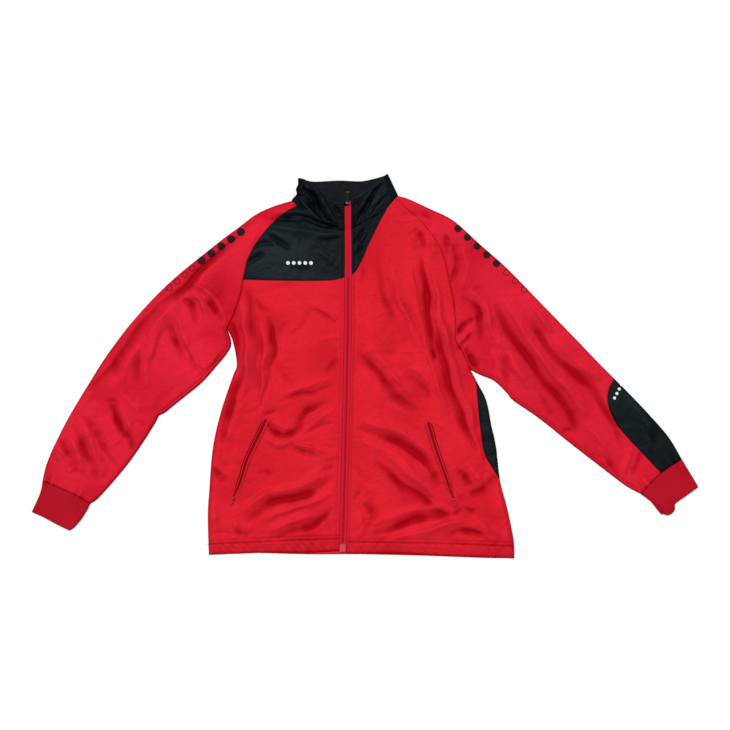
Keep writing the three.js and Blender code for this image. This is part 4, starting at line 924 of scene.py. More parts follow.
def one_tone(name, colour, roughness, drift, grain, metallic=0.0, depth=0.05):
    """Plain finish with a fine grain: thread, tape, lacquer or moulded plastic."""
    made = Finish(name, colour, roughness, metallic)
    share = made.noise(grain, 3.0)
    made.colour(made.blend(share, tinted(colour, 1 - drift), tinted(colour, 1 + drift)))
    made.bump(share, depth * MM, 0.5)
    return made


thread_red = one_tone("thread_red", tinted(RED, 0.8), 0.6, 0.15, 900)
thread_black = one_tone("thread_black", tinted(BLACK, 1.3), 0.6, 0.15, 900)
zip_tape = one_tone("zip_tape", ZIP_RED, 0.7, 0.12, 700, depth=0.1)
zip_coil = Finish("zip_coil", ZIP_RED, 0.5)
# Painted shade: below the yoke the coil is darker, and above it a little paler.
on_yoke = zip_coil.maths("GREATER_THAN", zip_coil.along((0, 0), (0, 1)), YOKE_FOOT * MM)
zip_coil.colour(zip_coil.blend(on_yoke, COIL_CHANNEL_SHADE_RED, tinted(ZIP_RED, 1.1)))
pocket_tape = one_tone("pocket_tape", POCKET_TAPE_RED, 0.7, 0.2, 700, depth=0.1)
# The pocket bags' colour carries painted shade inside the openings.
pocket_lining = one_tone("pocket_lining", SHADED_LINING_RED, 0.9, 0.2, 400)
dark_metal = Finish("dark_metal", (0.006, 0.006, 0.008), 0.5, gloss=0.06)
up_jacket = dark_metal.along((0, 0), (0, 1))
# Painted highlight: a thin band across the slider's top is paler, and so is the pull tab's tip.
pale_tip_and_glint = dark_metal.maths("ADD", dark_metal.maths("GREATER_THAN", up_jacket, TAB_TOP * MM),
                        dark_metal.maths("COMPARE", up_jacket, COLLAR_OF_SLIDER * MM))
dark_metal.colour(dark_metal.blend(pale_tip_and_glint, METAL_DARK, METAL_PALE))
red_metal = one_tone("red_metal", LACQUER_RED, 0.35, 0.2, 300, metallic=0.3)
pale_plastic = one_tone("pale_plastic", PALE_PINK, 0.25, 0.15, 200)
print("finishes:", len(bpy.data.materials))

# %% [markdown]
# ## From a plan to a piece of cloth
# A grid is laid over the piece's plan and every crossing is moved to its place, as a tailor drapes a cut
# piece over the form. The map of the cloth is kept in real metres, so the knit has one size everywhere.
# A Solidify modifier then gives the sheet its thickness on the inside, away from the face that shows.

# %% Grid over a plan
SEAM = 0.08  # mm between two sewn edges
LIP_DROP = 0.45  # mm that a sewn edge turns down into its seam
LIP = 1.2  # mm in from the edge, where that turn starts
CELL = 2.8  # mm, side of one cell


def spread(width, cell=CELL, near=(LIP,), far=(LIP,)):
    """Shares across a width: even cells, with extra lines at given distances from each edge."""
    low, high = max(near, default=0), width - max(far, default=0)
    inner = np.linspace(low, high, max(int(round((high - low) / cell)), 1) + 1)
    lines = np.concatenate([[0, width], near, width - np.array(far, float), inner])
    return np.unique(np.round(lines, 4)) / width


def patch(low, high, near, far, us, vs):
    """Plan grid between four edges, as an array of rows by columns by 2."""
    lows, highs, nears, fars = low(us), high(us), near(vs), far(vs)
    u, v = us[None, :, None], vs[:, None, None]
    ruled = (1 - v) * lows[None] + v * highs[None] + (1 - u) * nears[:, None] + u * fars[:, None]
    corners = (1 - v) * ((1 - u) * lows[0] + u * lows[-1]) + v * ((1 - u) * highs[0] + u * highs[-1])
    return ruled - corners


def drawn_in(plan, gap=SEAM / 2):
    """Plan with its outer lines drawn in by half a seam's gap."""
    plan = plan.copy()
    for border, inner in ((plan[:, 0], plan[:, 1]), (plan[:, -1], plan[:, -2]),
                          (plan[0], plan[1]), (plan[-1], plan[-2])):
        step = inner - border
        border += gap * step / np.maximum(np.linalg.norm(step, axis=-1, keepdims=True), 1e-6)
    return plan


def lowered(grid, drop=LIP_DROP, sides="nfbt"):
    """Grid with its sewn edges turned down: n near, f far, b bottom, t top."""
    grid = grid.copy()
    for key, ring, second in (("n", grid[:, 0], grid[:, 1]), ("f", grid[:, -1], grid[:, -2]),
                              ("b", grid[0], grid[1]), ("t", grid[-1], grid[-2])):
        if key in sides:
            ring[..., 2] -= drop
            second[..., 2] -= 0.18 * drop
    return grid


print("lines across a width of 50 mm:", len(spread(50)))

# %% From a grid to a piece of cloth
def grid_mesh(grid, up_at=None):
    """Bmesh grid moved to an array of places in mm. Its face points up at the cell up_at."""
    rows, cols = grid.shape[:2]
    bm = bmesh.new()
    bmesh.ops.create_grid(bm, x_segments=cols - 1, y_segments=rows - 1, size=0.5)
    bm.verts.ensure_lookup_table()
    flat = np.array([vert.co[:2] for vert in bm.verts])
    col = np.rint((flat[:, 0] + 0.5) * (cols - 1)).astype(int)
    row = np.rint((flat[:, 1] + 0.5) * (rows - 1)).astype(int)
    middle_row, middle_col = grid[rows // 2], grid[:, cols // 2]
    across = np.concatenate([[0], np.cumsum(np.linalg.norm(np.diff(middle_row, axis=0), axis=1))])
    along = np.concatenate([[0], np.cumsum(np.linalg.norm(np.diff(middle_col, axis=0), axis=1))])
    layer = bm.loops.layers.uv.new("Cloth")
    for face in bm.faces:
        for loop in face.loops:
            k = loop.vert.index
            loop[layer].uv = (across[col[k]] * MM, along[row[k]] * MM)
    places = grid[row, col] * MM
    for vert, place in zip(bm.verts, places):
        vert.co = place
    bm.normal_update()
    if up_at is not None:
        bm.faces.ensure_lookup_table()
        cell = bm.faces[int(up_at[0]) * (cols - 1) + int(up_at[1])]
        if cell.normal.z < 0:
            bmesh.ops.reverse_faces(bm, faces=bm.faces)
    return bm


TRICOT_THICK, DOUBLED_THICK, TAPE_THICK = 0.9, 1.6, 0.5  # mm


def as_object(name, bm, finish, thickness=None):
    """Object from a bmesh, riding on the jacket, with its finish and an optional cloth thickness."""
    mesh = bpy.data.meshes.new(name)
    bm.to_mesh(mesh)
    bm.free()
    mesh.shade_smooth()
    piece = bpy.data.objects.new(name, mesh)
    bpy.context.scene.collection.objects.link(piece)
    mesh.materials.append(finish.material)
    if thickness:
        shell = piece.modifiers.new("cloth thickness", "SOLIDIFY")
        shell.thickness = thickness * MM
        shell.offset = -1
    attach(piece, BODY)
    return piece


sample_sheet = grid_mesh(np.zeros((5, 4, 3)))
print("a sheet of 5 by 4 places has", len(sample_sheet.faces), "faces")
sample_sheet.free()

# %% [markdown]
# ## Marking the folds for painted shade
# Cloth also looks darker along its edges, seams and stitch rows, where it turns down or is pressed in, so
# shade is painted there too. Those lines are listed here, each with its width and its strength, and are
# added to the depth of the folds. A strength below zero paints a highlight instead, which makes a line
# paler, such as the top edge of the collar.

# %% Marks of folds, seams and edges
DARK_LINES = [(line, 1.9, 0.95) for line in HEM_STITCH] + [(line + (0, 7.5), 2.6, 0.5) for line in HEM_STITCH]
DARK_LINES += [(smooth(rows) - (0, 2.5), 2.4, -0.4) for rows in (COLLAR_EDGE_RIGHT, COLLAR_EDGE_LEFT)]
for wide, dark, tables in (
        (4.4, 1.0, (HEM_EDGE[:4], HEM_EDGE[4:])),
        (3.0, 0.5, (SHOULDER_RIGHT, SHOULDER_LEFT, SIDE_RIGHT, UNDERARM_RIGHT, UNDERARM_LEFT,
                    CUFF_INNER_RIGHT, CUFF_INNER_LEFT, CUFF_OUTER_RIGHT, CUFF_END_RIGHT, CUFF_END_LEFT)),
        (2.2, 0.5, (CUFF_SEAM_RIGHT, CUFF_SEAM_LEFT)),
        (3.4, 0.35, (RAGLAN_LEFT, RAGLAN_LOW_RIGHT, RAGLAN_HIGH_RIGHT))):
    DARK_LINES += [(smooth(rows), wide, dark) for rows in tables]
FULL_DEPTH = 4.5  # mm, depth of a fold that is marked -1
# Most that a ridge is marked, which caps its painted highlight.
MOST_RIDGE_HIGHLIGHT = 0.4
TURN_SHADE, PUCKER_SHADE = 0.9, 0.45  # shares of painted shade that a turned edge and a pucker give


def mark_folds(piece):
    """Stores at each corner how sunk or raised the cloth is, for its finish to paint as shade and highlight.
    """
    count = len(piece.data.vertices)
    places = np.empty(count * 3)
    piece.data.vertices.foreach_get("co", places)
    places = places.reshape(-1, 3) / MM
    upper = places[:, 2] > UPPER_SIDE + 0.1
    values = np.zeros(count)
    facing = np.empty(count * 3)
    piece.data.vertices.foreach_get("normal", facing)
    turned = 1 - np.abs(facing.reshape(-1, 3)[:, 2])
    spots = places[upper, :2]
    marks = np.clip(folds_at(spots) / FULL_DEPTH, -1, MOST_RIDGE_HIGHLIGHT)
    # Edges that turn away from the top, puckers and the listed lines add painted shade.
    marks += PUCKER_SHADE * hem_puckers(spots) - TURN_SHADE * turned[upper]
    for line, wide, dark in DARK_LINES:
        inside = close_to(spots, line, 3 * wide)
        if inside.any():
            marks[inside] -= dark * bell(nearest(spots[inside], line)[0], wide)
    values[upper] = marks
    piece.data.attributes.new("fold", "FLOAT", "POINT").data.foreach_set("value", values)


print("lines that are marked:", len(DARK_LINES))


def sewn(name, node, bm, finish, thickness=TRICOT_THICK):
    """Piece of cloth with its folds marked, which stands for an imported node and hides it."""
    piece = as_object(name, bm, finish, thickness)
    mark_folds(piece)
    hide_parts(node)


# %% [markdown]
# ## The back
# The back panel lies flat on the table, under everything else. It shows inside the neck and as a thin line
# below the front hem. A plain grid is laid over it and cut along its outline, because its edges step in
# under the side panel.

# %% Cutting a sheet along a line
UNDERLAP = 46.0  # mm that the side panel reaches under the jacket, up to the back's seam


def inside_loop(spots, loop):
    """Which spots are inside a closed loop of points."""
    ax, ay = loop[:, 0], loop[:, 1]
    bx, by = np.roll(ax, -1), np.roll(ay, -1)
    x, y = spots[:, :1], spots[:, 1:2]
    crosses = (ay[None] > y) != (by[None] > y)
    with np.errstate(divide="ignore", invalid="ignore"):
        at = ax[None] + (y - ay[None]) * (bx - ax)[None] / (by - ay)[None]
    return (crosses & (x < at)).sum(1) % 2 == 1


def signed_gap(spots, loop):
    """Distance from a closed loop, below zero inside it."""
    closed = np.vstack([loop, loop[:1]])
    batches = np.array_split(spots, len(spots) // 4000 + 1)
    reach = np.concatenate([nearest(batch, closed)[0] for batch in batches])
    return np.where(inside_loop(spots, loop), -reach, reach)


def cut_loop(bm, loop):
    """Cuts the sheet's faces along a closed loop in the plan, and returns the faces inside it."""
    spots = np.array([vert.co[:2] for vert in bm.verts]) / MM
    gaps = dict(zip(bm.verts, signed_gap(spots, loop)))
    near_zero = 0.04
    on_line = {vert for vert, gap in gaps.items() if abs(gap) <= near_zero}
    crossing = [e for e in bm.edges
                if gaps[e.verts[0]] * gaps[e.verts[1]] < 0 and not on_line.intersection(e.verts)]
    for e in crossing:
        first, second = e.verts
        share = gaps[first] / (gaps[first] - gaps[second])
        _, made = bmesh.utils.edge_split(e, first, share)
        gaps[made] = 0.0
        on_line.add(made)
    for face in list(bm.faces):
        marks = [vert for vert in face.verts if vert in on_line]
        signs = {gaps[vert] > 0 for vert in face.verts if vert not in on_line}
        if len(marks) == 2 and len(signs) == 2:
            bmesh.utils.face_split(face, marks[0], marks[1])
    middles = np.array([face.calc_center_median()[:2] for face in bm.faces]) / MM
    within = inside_loop(middles, loop)
    return [face for face, yes in zip(bm.faces, within) if yes]


# %% Back panel
BACK_THICK = 1.2
BACK_NECK = [(46, 323.5), (5, 320.5), (-45, 318.5), (-90, 319.5), (-130, 320)]
BACK_HEM = [(-213.8, -374.6), (-115, -377.5), (-9, -377), (120, -380)]
side_left = smooth(SIDE_LEFT)
raglan_left = smooth(RAGLAN_LEFT)
raglan_right = np.vstack([smooth(RAGLAN_LOW_RIGHT), smooth(RAGLAN_HIGH_RIGHT)[1:]])
back_loop = np.vstack([
    side_left - (UNDERLAP + SEAM / 2, 0),
    raglan_left[1:-4] - (SEAM, SEAM),
    BACK_NECK,
    raglan_right[::-1][1:] + (SEAM, -SEAM),
    smooth(SIDE_RIGHT)[::-1][1:] + (0.4, 0),
    BACK_HEM,
])
low, high = back_loop.min(0) - 3, back_loop.max(0) + 3
across, up = np.meshgrid(np.linspace(low[0], high[0], 96), np.linspace(low[1], high[1], 118))
sheet = np.stack([across, up, np.zeros_like(across)], axis=-1)
bm = grid_mesh(sheet)
kept = set(cut_loop(bm, back_loop))
bmesh.ops.delete(bm, geom=[face for face in bm.faces if face not in kept], context="FACES")
bmesh.ops.reverse_faces(bm, faces=bm.faces)
sewn("back_panel", "back", bm, back_tricot, thickness=BACK_THICK)

# %% [markdown]
# ## The fronts and the yokes
# Each front runs from the zip to the side seam, with a chest yoke sewn in above it. The four edges of a
# piece give its plan, and the height comes from the creases. Extra grid lines beside the zip and the hem
# let the rows of topstitching sink in sharply. Pocket openings are cut out along a narrow lens.

# %% Fronts and yokes
HEM_RIGHT, HEM_LEFT = -370.0, -376.0
FOOT_RIGHT, FOOT_LEFT = 177.5, 181.8
ZIP_LINES = (0.6, 1.4, 2.2, 3.2, 4.2, 5.0, 5.6, 6.2, 6.8, 7.6, 9.0)
HEM_LINES = (1.0, 3.0, 6.0, 10.0, 14.0, 18.0, 21.0, 23.0, 24.5, 26.0, 27.5, 29.0, 30.5, 32.0, 33.5, 35.0,
             38.0)
FINE_CELL, LONG_CELL = 2.6, 3.4  # mm


def heights_on(plan):
    """Plan grid with its height on the upper layer."""
    return np.concatenate([plan, ground(plan)[..., None]], axis=-1)


def upper_piece(low, high, near, far, us, vs, drop=LIP_DROP):
    return lowered(heights_on(drawn_in(patch(low, high, near, far, us, vs))), drop)


hem_right = edge_of([(float(zip_x(HEM_RIGHT)) - ZIP_HALF, HEM_RIGHT), (-115, -374), (-213.8, -374),
                     (-313, -378)])
hem_left = edge_of([(float(zip_x(HEM_LEFT)) + ZIP_HALF, HEM_LEFT), (60, -376), (191, -381), (299, -385.1)])
yoke_foot = edge_of(YOKE_FOOT_RIGHT)
neck_right = edge_of(NECK_RIGHT)

grid = upper_piece(hem_right, yoke_foot, edge((zip_edge(-1, HEM_RIGHT, FOOT_RIGHT), 1)),
                   edge((smooth(SIDE_RIGHT), 19), (smooth(RAGLAN_LOW_RIGHT), 5)),
                   spread(262, near=ZIP_LINES), spread(555, near=HEM_LINES))
front_right_bm = grid_mesh(grid, up_at=(60, 40))

grid = upper_piece(yoke_foot, neck_right, edge((zip_edge(-1, FOOT_RIGHT, 270), 1)),
                   edge_of(RAGLAN_HIGH_RIGHT), spread(180, near=ZIP_LINES), spread(130, FINE_CELL))
yoke_right_bm = grid_mesh(grid, up_at=(20, 30))

side_shares = np.linspace(0, 1, 240)
side_seam_line = walk(side_left, side_shares)
seam_points = smooth(SIDE_SEAM_LEFT)
side_seam_line[:, 0] = np.minimum(side_seam_line[:, 0],
                                  np.interp(side_seam_line[:, 1], seam_points[:, 1], seam_points[:, 0]))
yoke_left_edge = smooth(YOKE_EDGE_LEFT)
grid = upper_piece(
    hem_left, edge((np.array([(53, 326), (61, 336)]), 1)),
    edge((zip_edge(1, HEM_LEFT, FOOT_LEFT), 22), (yoke_left_edge, 9), (np.array([(42, 313), (53, 326)]), 1)),
    edge((side_seam_line, 16), (raglan_left, 16)), spread(262, near=ZIP_LINES), spread(730, near=HEM_LINES))
front_left_bm = grid_mesh(grid, up_at=(60, 40))

grid = upper_piece(edge((yoke_left_edge[::-1], 1)), edge((smooth(NECK_LEFT[:4])[::-1], 1)),
                   edge((np.array([(43, 311), (42, 313)]), 1)), edge((zip_edge(1, FOOT_LEFT, 274.5), 1)),
                   spread(120, FINE_CELL), spread(60, FINE_CELL, near=(0.4,), far=(0.4,)), drop=0.7)
yoke_left_bm = grid_mesh(grid, up_at=(10, 20))

# %% Pocket openings in the fronts
OPEN_AWAY, OPEN_ZIP = 4.9, 9.4  # half widths of the opening, away from the zip and towards it
HEAD_TAPER, FOOT_TAPER = 0.045, 0.14  # shares of the slit in which its ends close


def slit_taper(shares, least=0.0):
    """Width of a pocket's opening along it, 1 where it is widest."""
    return np.sqrt(np.clip(np.minimum(shares / HEAD_TAPER, (1 - shares) / FOOT_TAPER), least, 1))


def pocket_side(table, shares, offsets):
    """Plan places beside a pocket's line, offset away from the zip where offsets are above zero."""
    offsets = np.asarray(offsets, float) * np.ones(len(shares))
    offsets = np.where(offsets < 0, offsets * (1.08 - 0.42 * shares), offsets)
    curve = smooth(table)
    line = walk(curve, shares)
    ahead = walk(curve, np.clip(shares + 0.01, 0, 1)) - walk(curve, np.clip(shares - 0.01, 0, 1))
    ahead /= np.linalg.norm(ahead, axis=1, keepdims=True)
    outward = np.stack([ahead[:, 1], -ahead[:, 0]], axis=-1)
    away = np.sign(outward[:, :1] * np.sign(table[0][0] - table[-1][0]) * -1)
    return line + outward * away * offsets[:, None]


def pocket_loop(table, away=OPEN_AWAY, to_zip=OPEN_ZIP):
    shares = np.linspace(0, 1, 41)
    taper = slit_taper(shares)
    return np.vstack([pocket_side(table, shares, away * taper),
                      pocket_side(table, shares, -to_zip * taper)[::-1][1:-1]])


for table, sheet_bm in ((POCKET_RIGHT, front_right_bm), (POCKET_LEFT, front_left_bm)):
    opening = cut_loop(sheet_bm, pocket_loop(table))
    print("pocket opening, faces cut out:", len(opening))
    bmesh.ops.delete(sheet_bm, geom=opening, context="FACES")

for name, node, sheet_bm, finish, slot, flat in (
        ("right_front", "front_right", front_right_bm, red_tricot, "red_tricot", (0.30, 0.58)),
        ("right_yoke", "yoke_right", yoke_right_bm, black_tricot, "black_tricot", (0.21, 0.16)),
        ("left_front", "front_left", front_left_bm, red_tricot, "red_tricot", (0.34, 0.74)),
        ("left_yoke", "yoke_left", yoke_left_bm, black_tricot, "black_tricot", (0.075, 0.135))):
    sewn(name, node, sheet_bm, finish)

# %% [markdown]
# ## The sleeves
# A raglan sleeve is one piece, folded along its outer edge. Its upper half runs from the seam to the fold,
# turns round it in a soft roll, and comes back along the table. A single grid follows that whole way, so
# the fold has no join. The black forearm inset is cut from the left sleeve along its curved seam.

# %% Sleeve grid
ROLL = 5.0
SEAM_LINES = (1.2, 3.0, 4.4, 5.2, 6.0, 6.8, 7.8, 9.4)
TURN = np.radians([78, 66, 54, 42, 30, 18, 6, -6, -18, -30, -42, -54, -66, -78])


def sleeve_grid(foot, neck, seam, fold, us, vs, under=16):
    """Outer face of a sleeve, from its seam over the top, round the fold and back underneath."""
    plan = drawn_in(patch(foot, neck, seam, fold, us, vs))
    width = np.linalg.norm(plan[:, -1] - plan[:, 0], axis=1)
    reach = np.minimum(ROLL, width / 4)
    turn_at = 1 - reach / width

    def along_row(k, shares):
        return np.stack([np.interp(shares, us, plan[k, :, axis]) for axis in (0, 1)], axis=-1)

    top = np.stack([along_row(k, turn_at[k] * us) for k in range(len(vs))])
    top = heights_on(top)
    start = top[:, -1]
    out = plan[:, -1] - start[:, :2]
    out /= np.linalg.norm(out, axis=1, keepdims=True)
    angle = TURN[None, :, None]
    half = start[:, None, 2:] / 2
    turn = np.concatenate([start[:, None, :2] + out[:, None] * reach[:, None, None] * np.cos(angle),
                           half + half * np.sin(angle)], axis=-1)
    low_shares = np.linspace(1, 0, under)
    low = np.stack([along_row(k, turn_at[k] * low_shares) for k in range(len(vs))])
    low = np.concatenate([low, np.zeros_like(low[..., :1])], axis=-1)
    whole = np.concatenate([top, turn, low], axis=1)
    whole = lowered(whole, 0.8, "n")
    upper = slice(0, len(us))
    whole[0, upper, 2] -= 0.9
    whole[-1, upper, 2] -= 0.5
    whole[:, upper, 2] = np.maximum(whole[:, upper, 2], 1.7)
    return whole


grid = sleeve_grid(edge_of(CUFF_SEAM_RIGHT), edge((np.array([(-136, 321), (-146, 331)]), 1)),
                   edge((smooth(UNDERARM_RIGHT), 14), (smooth(RAGLAN_LOW_RIGHT), 5),
                        (smooth(RAGLAN_HIGH_RIGHT), 9)),
                   edge_of(SHOULDER_RIGHT), spread(150, FINE_CELL, near=SEAM_LINES), spread(720, LONG_CELL))
bm = grid_mesh(grid, up_at=(60, 20))
sewn("right_sleeve", "sleeve_right", bm, sleeve_tricot)

grid = sleeve_grid(edge_of(CUFF_SEAM_LEFT), edge((np.array([(61, 336), (65.5, 340.5)]), 1)),
                   edge((smooth(UNDERARM_LEFT), 14), (raglan_left, 16)),
                   edge_of(SHOULDER_LEFT), spread(150, FINE_CELL, near=SEAM_LINES), spread(740, LONG_CELL))
bm = grid_mesh(grid, up_at=(60, 20))
inset_loop = np.vstack([smooth(INSET_EDGE), [(760, -150), (640, 40)]])
inset_faces = set(cut_loop(bm, inset_loop))
seam_verts = {vert for face in inset_faces for vert in face.verts
              if any(other not in inset_faces for other in vert.link_faces)}
for vert in seam_verts:
    if vert.co.z > 3 * MM:
        vert.co.z -= 0.7 * MM
for face in bm.faces:
    face.select = face in inset_faces
inset_bm = bm.copy()
for part, wanted in ((bm, False), (inset_bm, True)):
    bmesh.ops.delete(part, geom=[face for face in part.faces if face.select != wanted], context="FACES")
sewn("left_sleeve", "sleeve_left", bm, sleeve_tricot)
sewn("forearm_inset", "forearm_inset_left", inset_bm, black_tricot)

# %% [markdown]
# ## The side panel
# A black panel joins the left front to the back. Only a sliver of it shows beside the front, and the rest
# runs under the jacket. Its cross-section is followed from the back's seam, round the side fold, to the
# seam with the front.

# %% Side panel
def side_panel_grid(rows=110, cols=26):
    outline = walk(side_left, np.linspace(0, 1, rows))
    seam = np.minimum(outline[:, 0], np.interp(outline[:, 1], seam_points[:, 1], seam_points[:, 0]))
    upper = ground(np.stack([seam, outline[:, 1]], axis=-1)) - 0.6
    sections = []
    for (edge_x, y), front_x, top in zip(outline, seam, upper):
        shown = edge_x - front_x
        path = [(edge_x - UNDERLAP + SEAM / 2, 0), (edge_x - UNDERLAP / 2, 0), (edge_x - ROLL, 0)]
        if shown > 2.5:
            tuck = min(shown, ROLL)
            for angle in np.radians([-70, -45, -20, 5, 30, 55, 78]):
                path.append((edge_x - tuck + tuck * math.cos(angle), (top + top * math.sin(angle)) / 2))
            path.append((front_x + SEAM, top - 0.9))
        else:
            path.append((edge_x - SEAM, 0))
        path = np.array(path)
        section = walk(path, np.linspace(0, 1, cols))
        sections.append(np.stack([section[:, 0], np.full(cols, y), section[:, 1]], axis=-1))
    whole = np.stack(sections)
    whole[0, :, 1] += SEAM
    whole[-1, :, 1] -= SEAM
    return whole


bm = grid_mesh(side_panel_grid())
bm.faces.ensure_lookup_table()
if bm.faces[1].normal.z > 0:
    bmesh.ops.reverse_faces(bm, faces=bm.faces)
sewn("left_side_panel", "side_panel_left", bm, black_tricot)

# %% [markdown]
# ## The cuffs
# Each cuff is a tube of rib knit that lies flat. The ribs run from the sleeve to the hand, and are real
# ridges here: the tube's outline waves in and out once for every rib.

# %% Cuffs
RIB_PITCH, RIB_DEPTH = 2.7, 0.28


def cuff_grid(seam, end, inner, outer, rows=30, samples=5):
    vs = np.linspace(0, 1, rows)
    shares = np.linspace(0, 1, 30)
    plan = patch(seam, end, inner, outer, shares, vs)
    width = float(np.linalg.norm(plan[0, -1] - plan[0, 0]))
    around = int(round(2 * width / RIB_PITCH)) * samples
    whole = []
    for k in range(rows):
        row = plan[k]
        span = np.linalg.norm(row[-1] - row[0])
        turn = ROLL / span
        level = ground(row) - 0.3 + 0.5 * bell(vs[k] * 95 - 10, 14)
        heading = (row[-1] - row[0]) / span

        def face(u, lower):
            at = np.array([np.interp(u, shares, row[:, 0]), np.interp(u, shares, row[:, 1])])
            return (*at, 0.0 if lower else float(np.interp(u, shares, level)))

        path = [face(u, False) for u in np.linspace(turn, 1 - turn, 26)]
        for centre_u, sign in ((1 - turn, 1), (turn, -1)):
            x, y, top = face(centre_u, False)
            angles = TURN if sign > 0 else TURN[::-1]
            for angle in angles:
                out = sign * ROLL * math.cos(angle)
                path.append((x + heading[0] * out, y + heading[1] * out, top / 2 + top / 2 * math.sin(angle)))
            if sign > 0:
                path.extend(face(u, True) for u in np.linspace(1 - turn, turn, 20))
        path.append(path[0])
        loop = walk(np.array(path), np.linspace(0, 1, around + 1))
        ahead = np.roll(loop[:-1], -1, axis=0) - np.roll(loop[:-1], 1, axis=0)
        along_cuff = plan[min(k + 1, rows - 1), 15] - plan[max(k - 1, 0), 15]
        normal = np.cross(ahead, [*along_cuff, 0.0])
        normal /= np.linalg.norm(normal, axis=1, keepdims=True)
        wave = RIB_DEPTH * np.cos(np.arange(around) * math.tau / samples)
        ribbed = loop[:-1] + normal * wave[:, None]
        ribbed[:, 2] = np.maximum(ribbed[:, 2], 0)
        whole.append(np.vstack([ribbed, ribbed[:1]]))
    return np.stack(whole)


for wearer, *tables in (("right", CUFF_SEAM_RIGHT, CUFF_END_RIGHT, CUFF_INNER_RIGHT, CUFF_OUTER_RIGHT),
                        ("left", CUFF_SEAM_LEFT, CUFF_END_LEFT, CUFF_INNER_LEFT, CUFF_OUTER_LEFT)):
    bm = grid_mesh(cuff_grid(*[edge_of(table) for table in tables]), up_at=(10, 40))
    bmesh.ops.remove_doubles(bm, verts=bm.verts, dist=0.02 * MM)
    sewn(f"{wearer}_cuff", f"cuff_{wearer}", bm, rib, thickness=DOUBLED_THICK)

# %% [markdown]
# ## The collar
# The stand collar is one doubled band. It lies folded: the two front parts rise a little from the neck seam
# to their top edge, and the back part lies flat under them with its inner face showing between. The band is
# followed from the zip round both folds, so the doubled cloth keeps its thickness all the way. Near the
# right fold the band sags outwards, which gives that side of the neck its soft outline.

# %% Collar
COLLAR_RISE = 5.5
COLLAR_BACK = [  # foot, top edge, height of the outer face
    (-142, 324, -130, 375.5, 5.7), (-148, 329, -134, 376, 3.4), (-144, 327, -130, 375.5, 1.1),
    (-132, 326, -120, 373, 0), (-90, 322, -101, 369.5, 0), (-45, 321, -52, 371.6, 0), (5, 323, -6, 370.5, 0),
    (46, 326, 30, 378.5, 0), (60, 330, 42, 383, 1.1), (66.5, 341, 45.5, 384.8, 3.4),
    (60, 332, 41.5, 382, 5.7)]
COLLAR_STITCH = (0.86, 0.93)  # shares of the collar's height
COLLAR_GROOVE, GROOVE_SHARE = 0.35, 0.012  # depth in mm, and half width as a share of the height


def collar_grid(front_cols=46, rows=30):
    shares = np.linspace(0, 1, front_cols)

    def front_band(neck, top_edge):
        """Foot, top edge, height of the outer face and share of a front, along one front of the collar."""
        flags = np.tile((0.0, 1.0), (front_cols, 1))
        return np.hstack([walk(smooth(neck), shares), walk(smooth(top_edge), shares), flags])

    right, left = front_band(NECK_RIGHT, COLLAR_EDGE_RIGHT), front_band(NECK_LEFT, COLLAR_EDGE_LEFT)
    ends = [(*right[-1, :4], 7.2, 1.0)] + [(*row, 0.0) for row in COLLAR_BACK] + [(*left[-1, :4], 7.2, 1.0)]
    band = np.vstack([right, smooth(ends)[1:-1], left[::-1]])
    vs = np.concatenate([[-0.014, 0.02], np.linspace(0.06, 0.9, rows - 6), [0.925, 0.95, 0.975, 1.0]])
    foot, top = band[:, :2], band[:, 2:4]
    plan = foot[None] + (top - foot)[None] * vs[:, None, None]
    slump = 6.5 * bell(vs - 0.33, 0.16) + 3.5 * bell(vs - 0.72, 0.16)
    plan[..., 0] += slump[:, None] * eased(-foot[:, 0], 100, 145)[None]
    front_share = np.clip(band[:, 5], 0, 1)[None]
    rise = COLLAR_RISE * np.clip(vs[:, None], 0, 1)
    on_top = ground(plan) + rise
    fold_rise = rise * np.clip((band[:, 4] - 1) / 5, 0, 1)[None]
    behind = band[:, 4][None] + fold_rise
    z = front_share * on_top + (1 - front_share) * np.clip(behind, 0, None)
    roll = np.array([1.0, 0.25] + [0] * (len(vs) - 5) + [0.1, 0.5, 1.3])
    z = z - 0.9 * roll[:, None] * front_share
    for at in COLLAR_STITCH:
        z = z - COLLAR_GROOVE * bell(vs - at, GROOVE_SHARE)[:, None] * front_share
    return np.concatenate([plan, z[..., None]], axis=-1)


bm = grid_mesh(collar_grid(), up_at=(10, 10))
sewn("stand_collar", "collar", bm, collar_tricot,
     thickness=DOUBLED_THICK)

# %% [markdown]
# ## The front zip
# Two woven tapes lie under the edges of the fronts, each with a raised border. Between them runs the coil:
# two rows of nylon loops that mesh like a comb. Each loop is a small rounded bar, set slightly aslant.

# %% Tapes of the front zip
ZIP_NECK, COLLAR_TALL = 272.0, 60.0
ENDS_OPEN = (46, 54)  # mm above the neck, where the two ends part
TAPE_PROFILE = [(0.04, -0.75), (1.4, -0.8), (2.6, -0.8), (3.4, -0.5), (4.2, -0.05), (5.0, 0.15), (5.8, 0.0),
                (6.5, -0.5), (7.1, -0.9), (8.4, -1.7)]


def collar_lift(y):
    return COLLAR_RISE * np.clip((y - ZIP_NECK) / COLLAR_TALL, 0, 1)


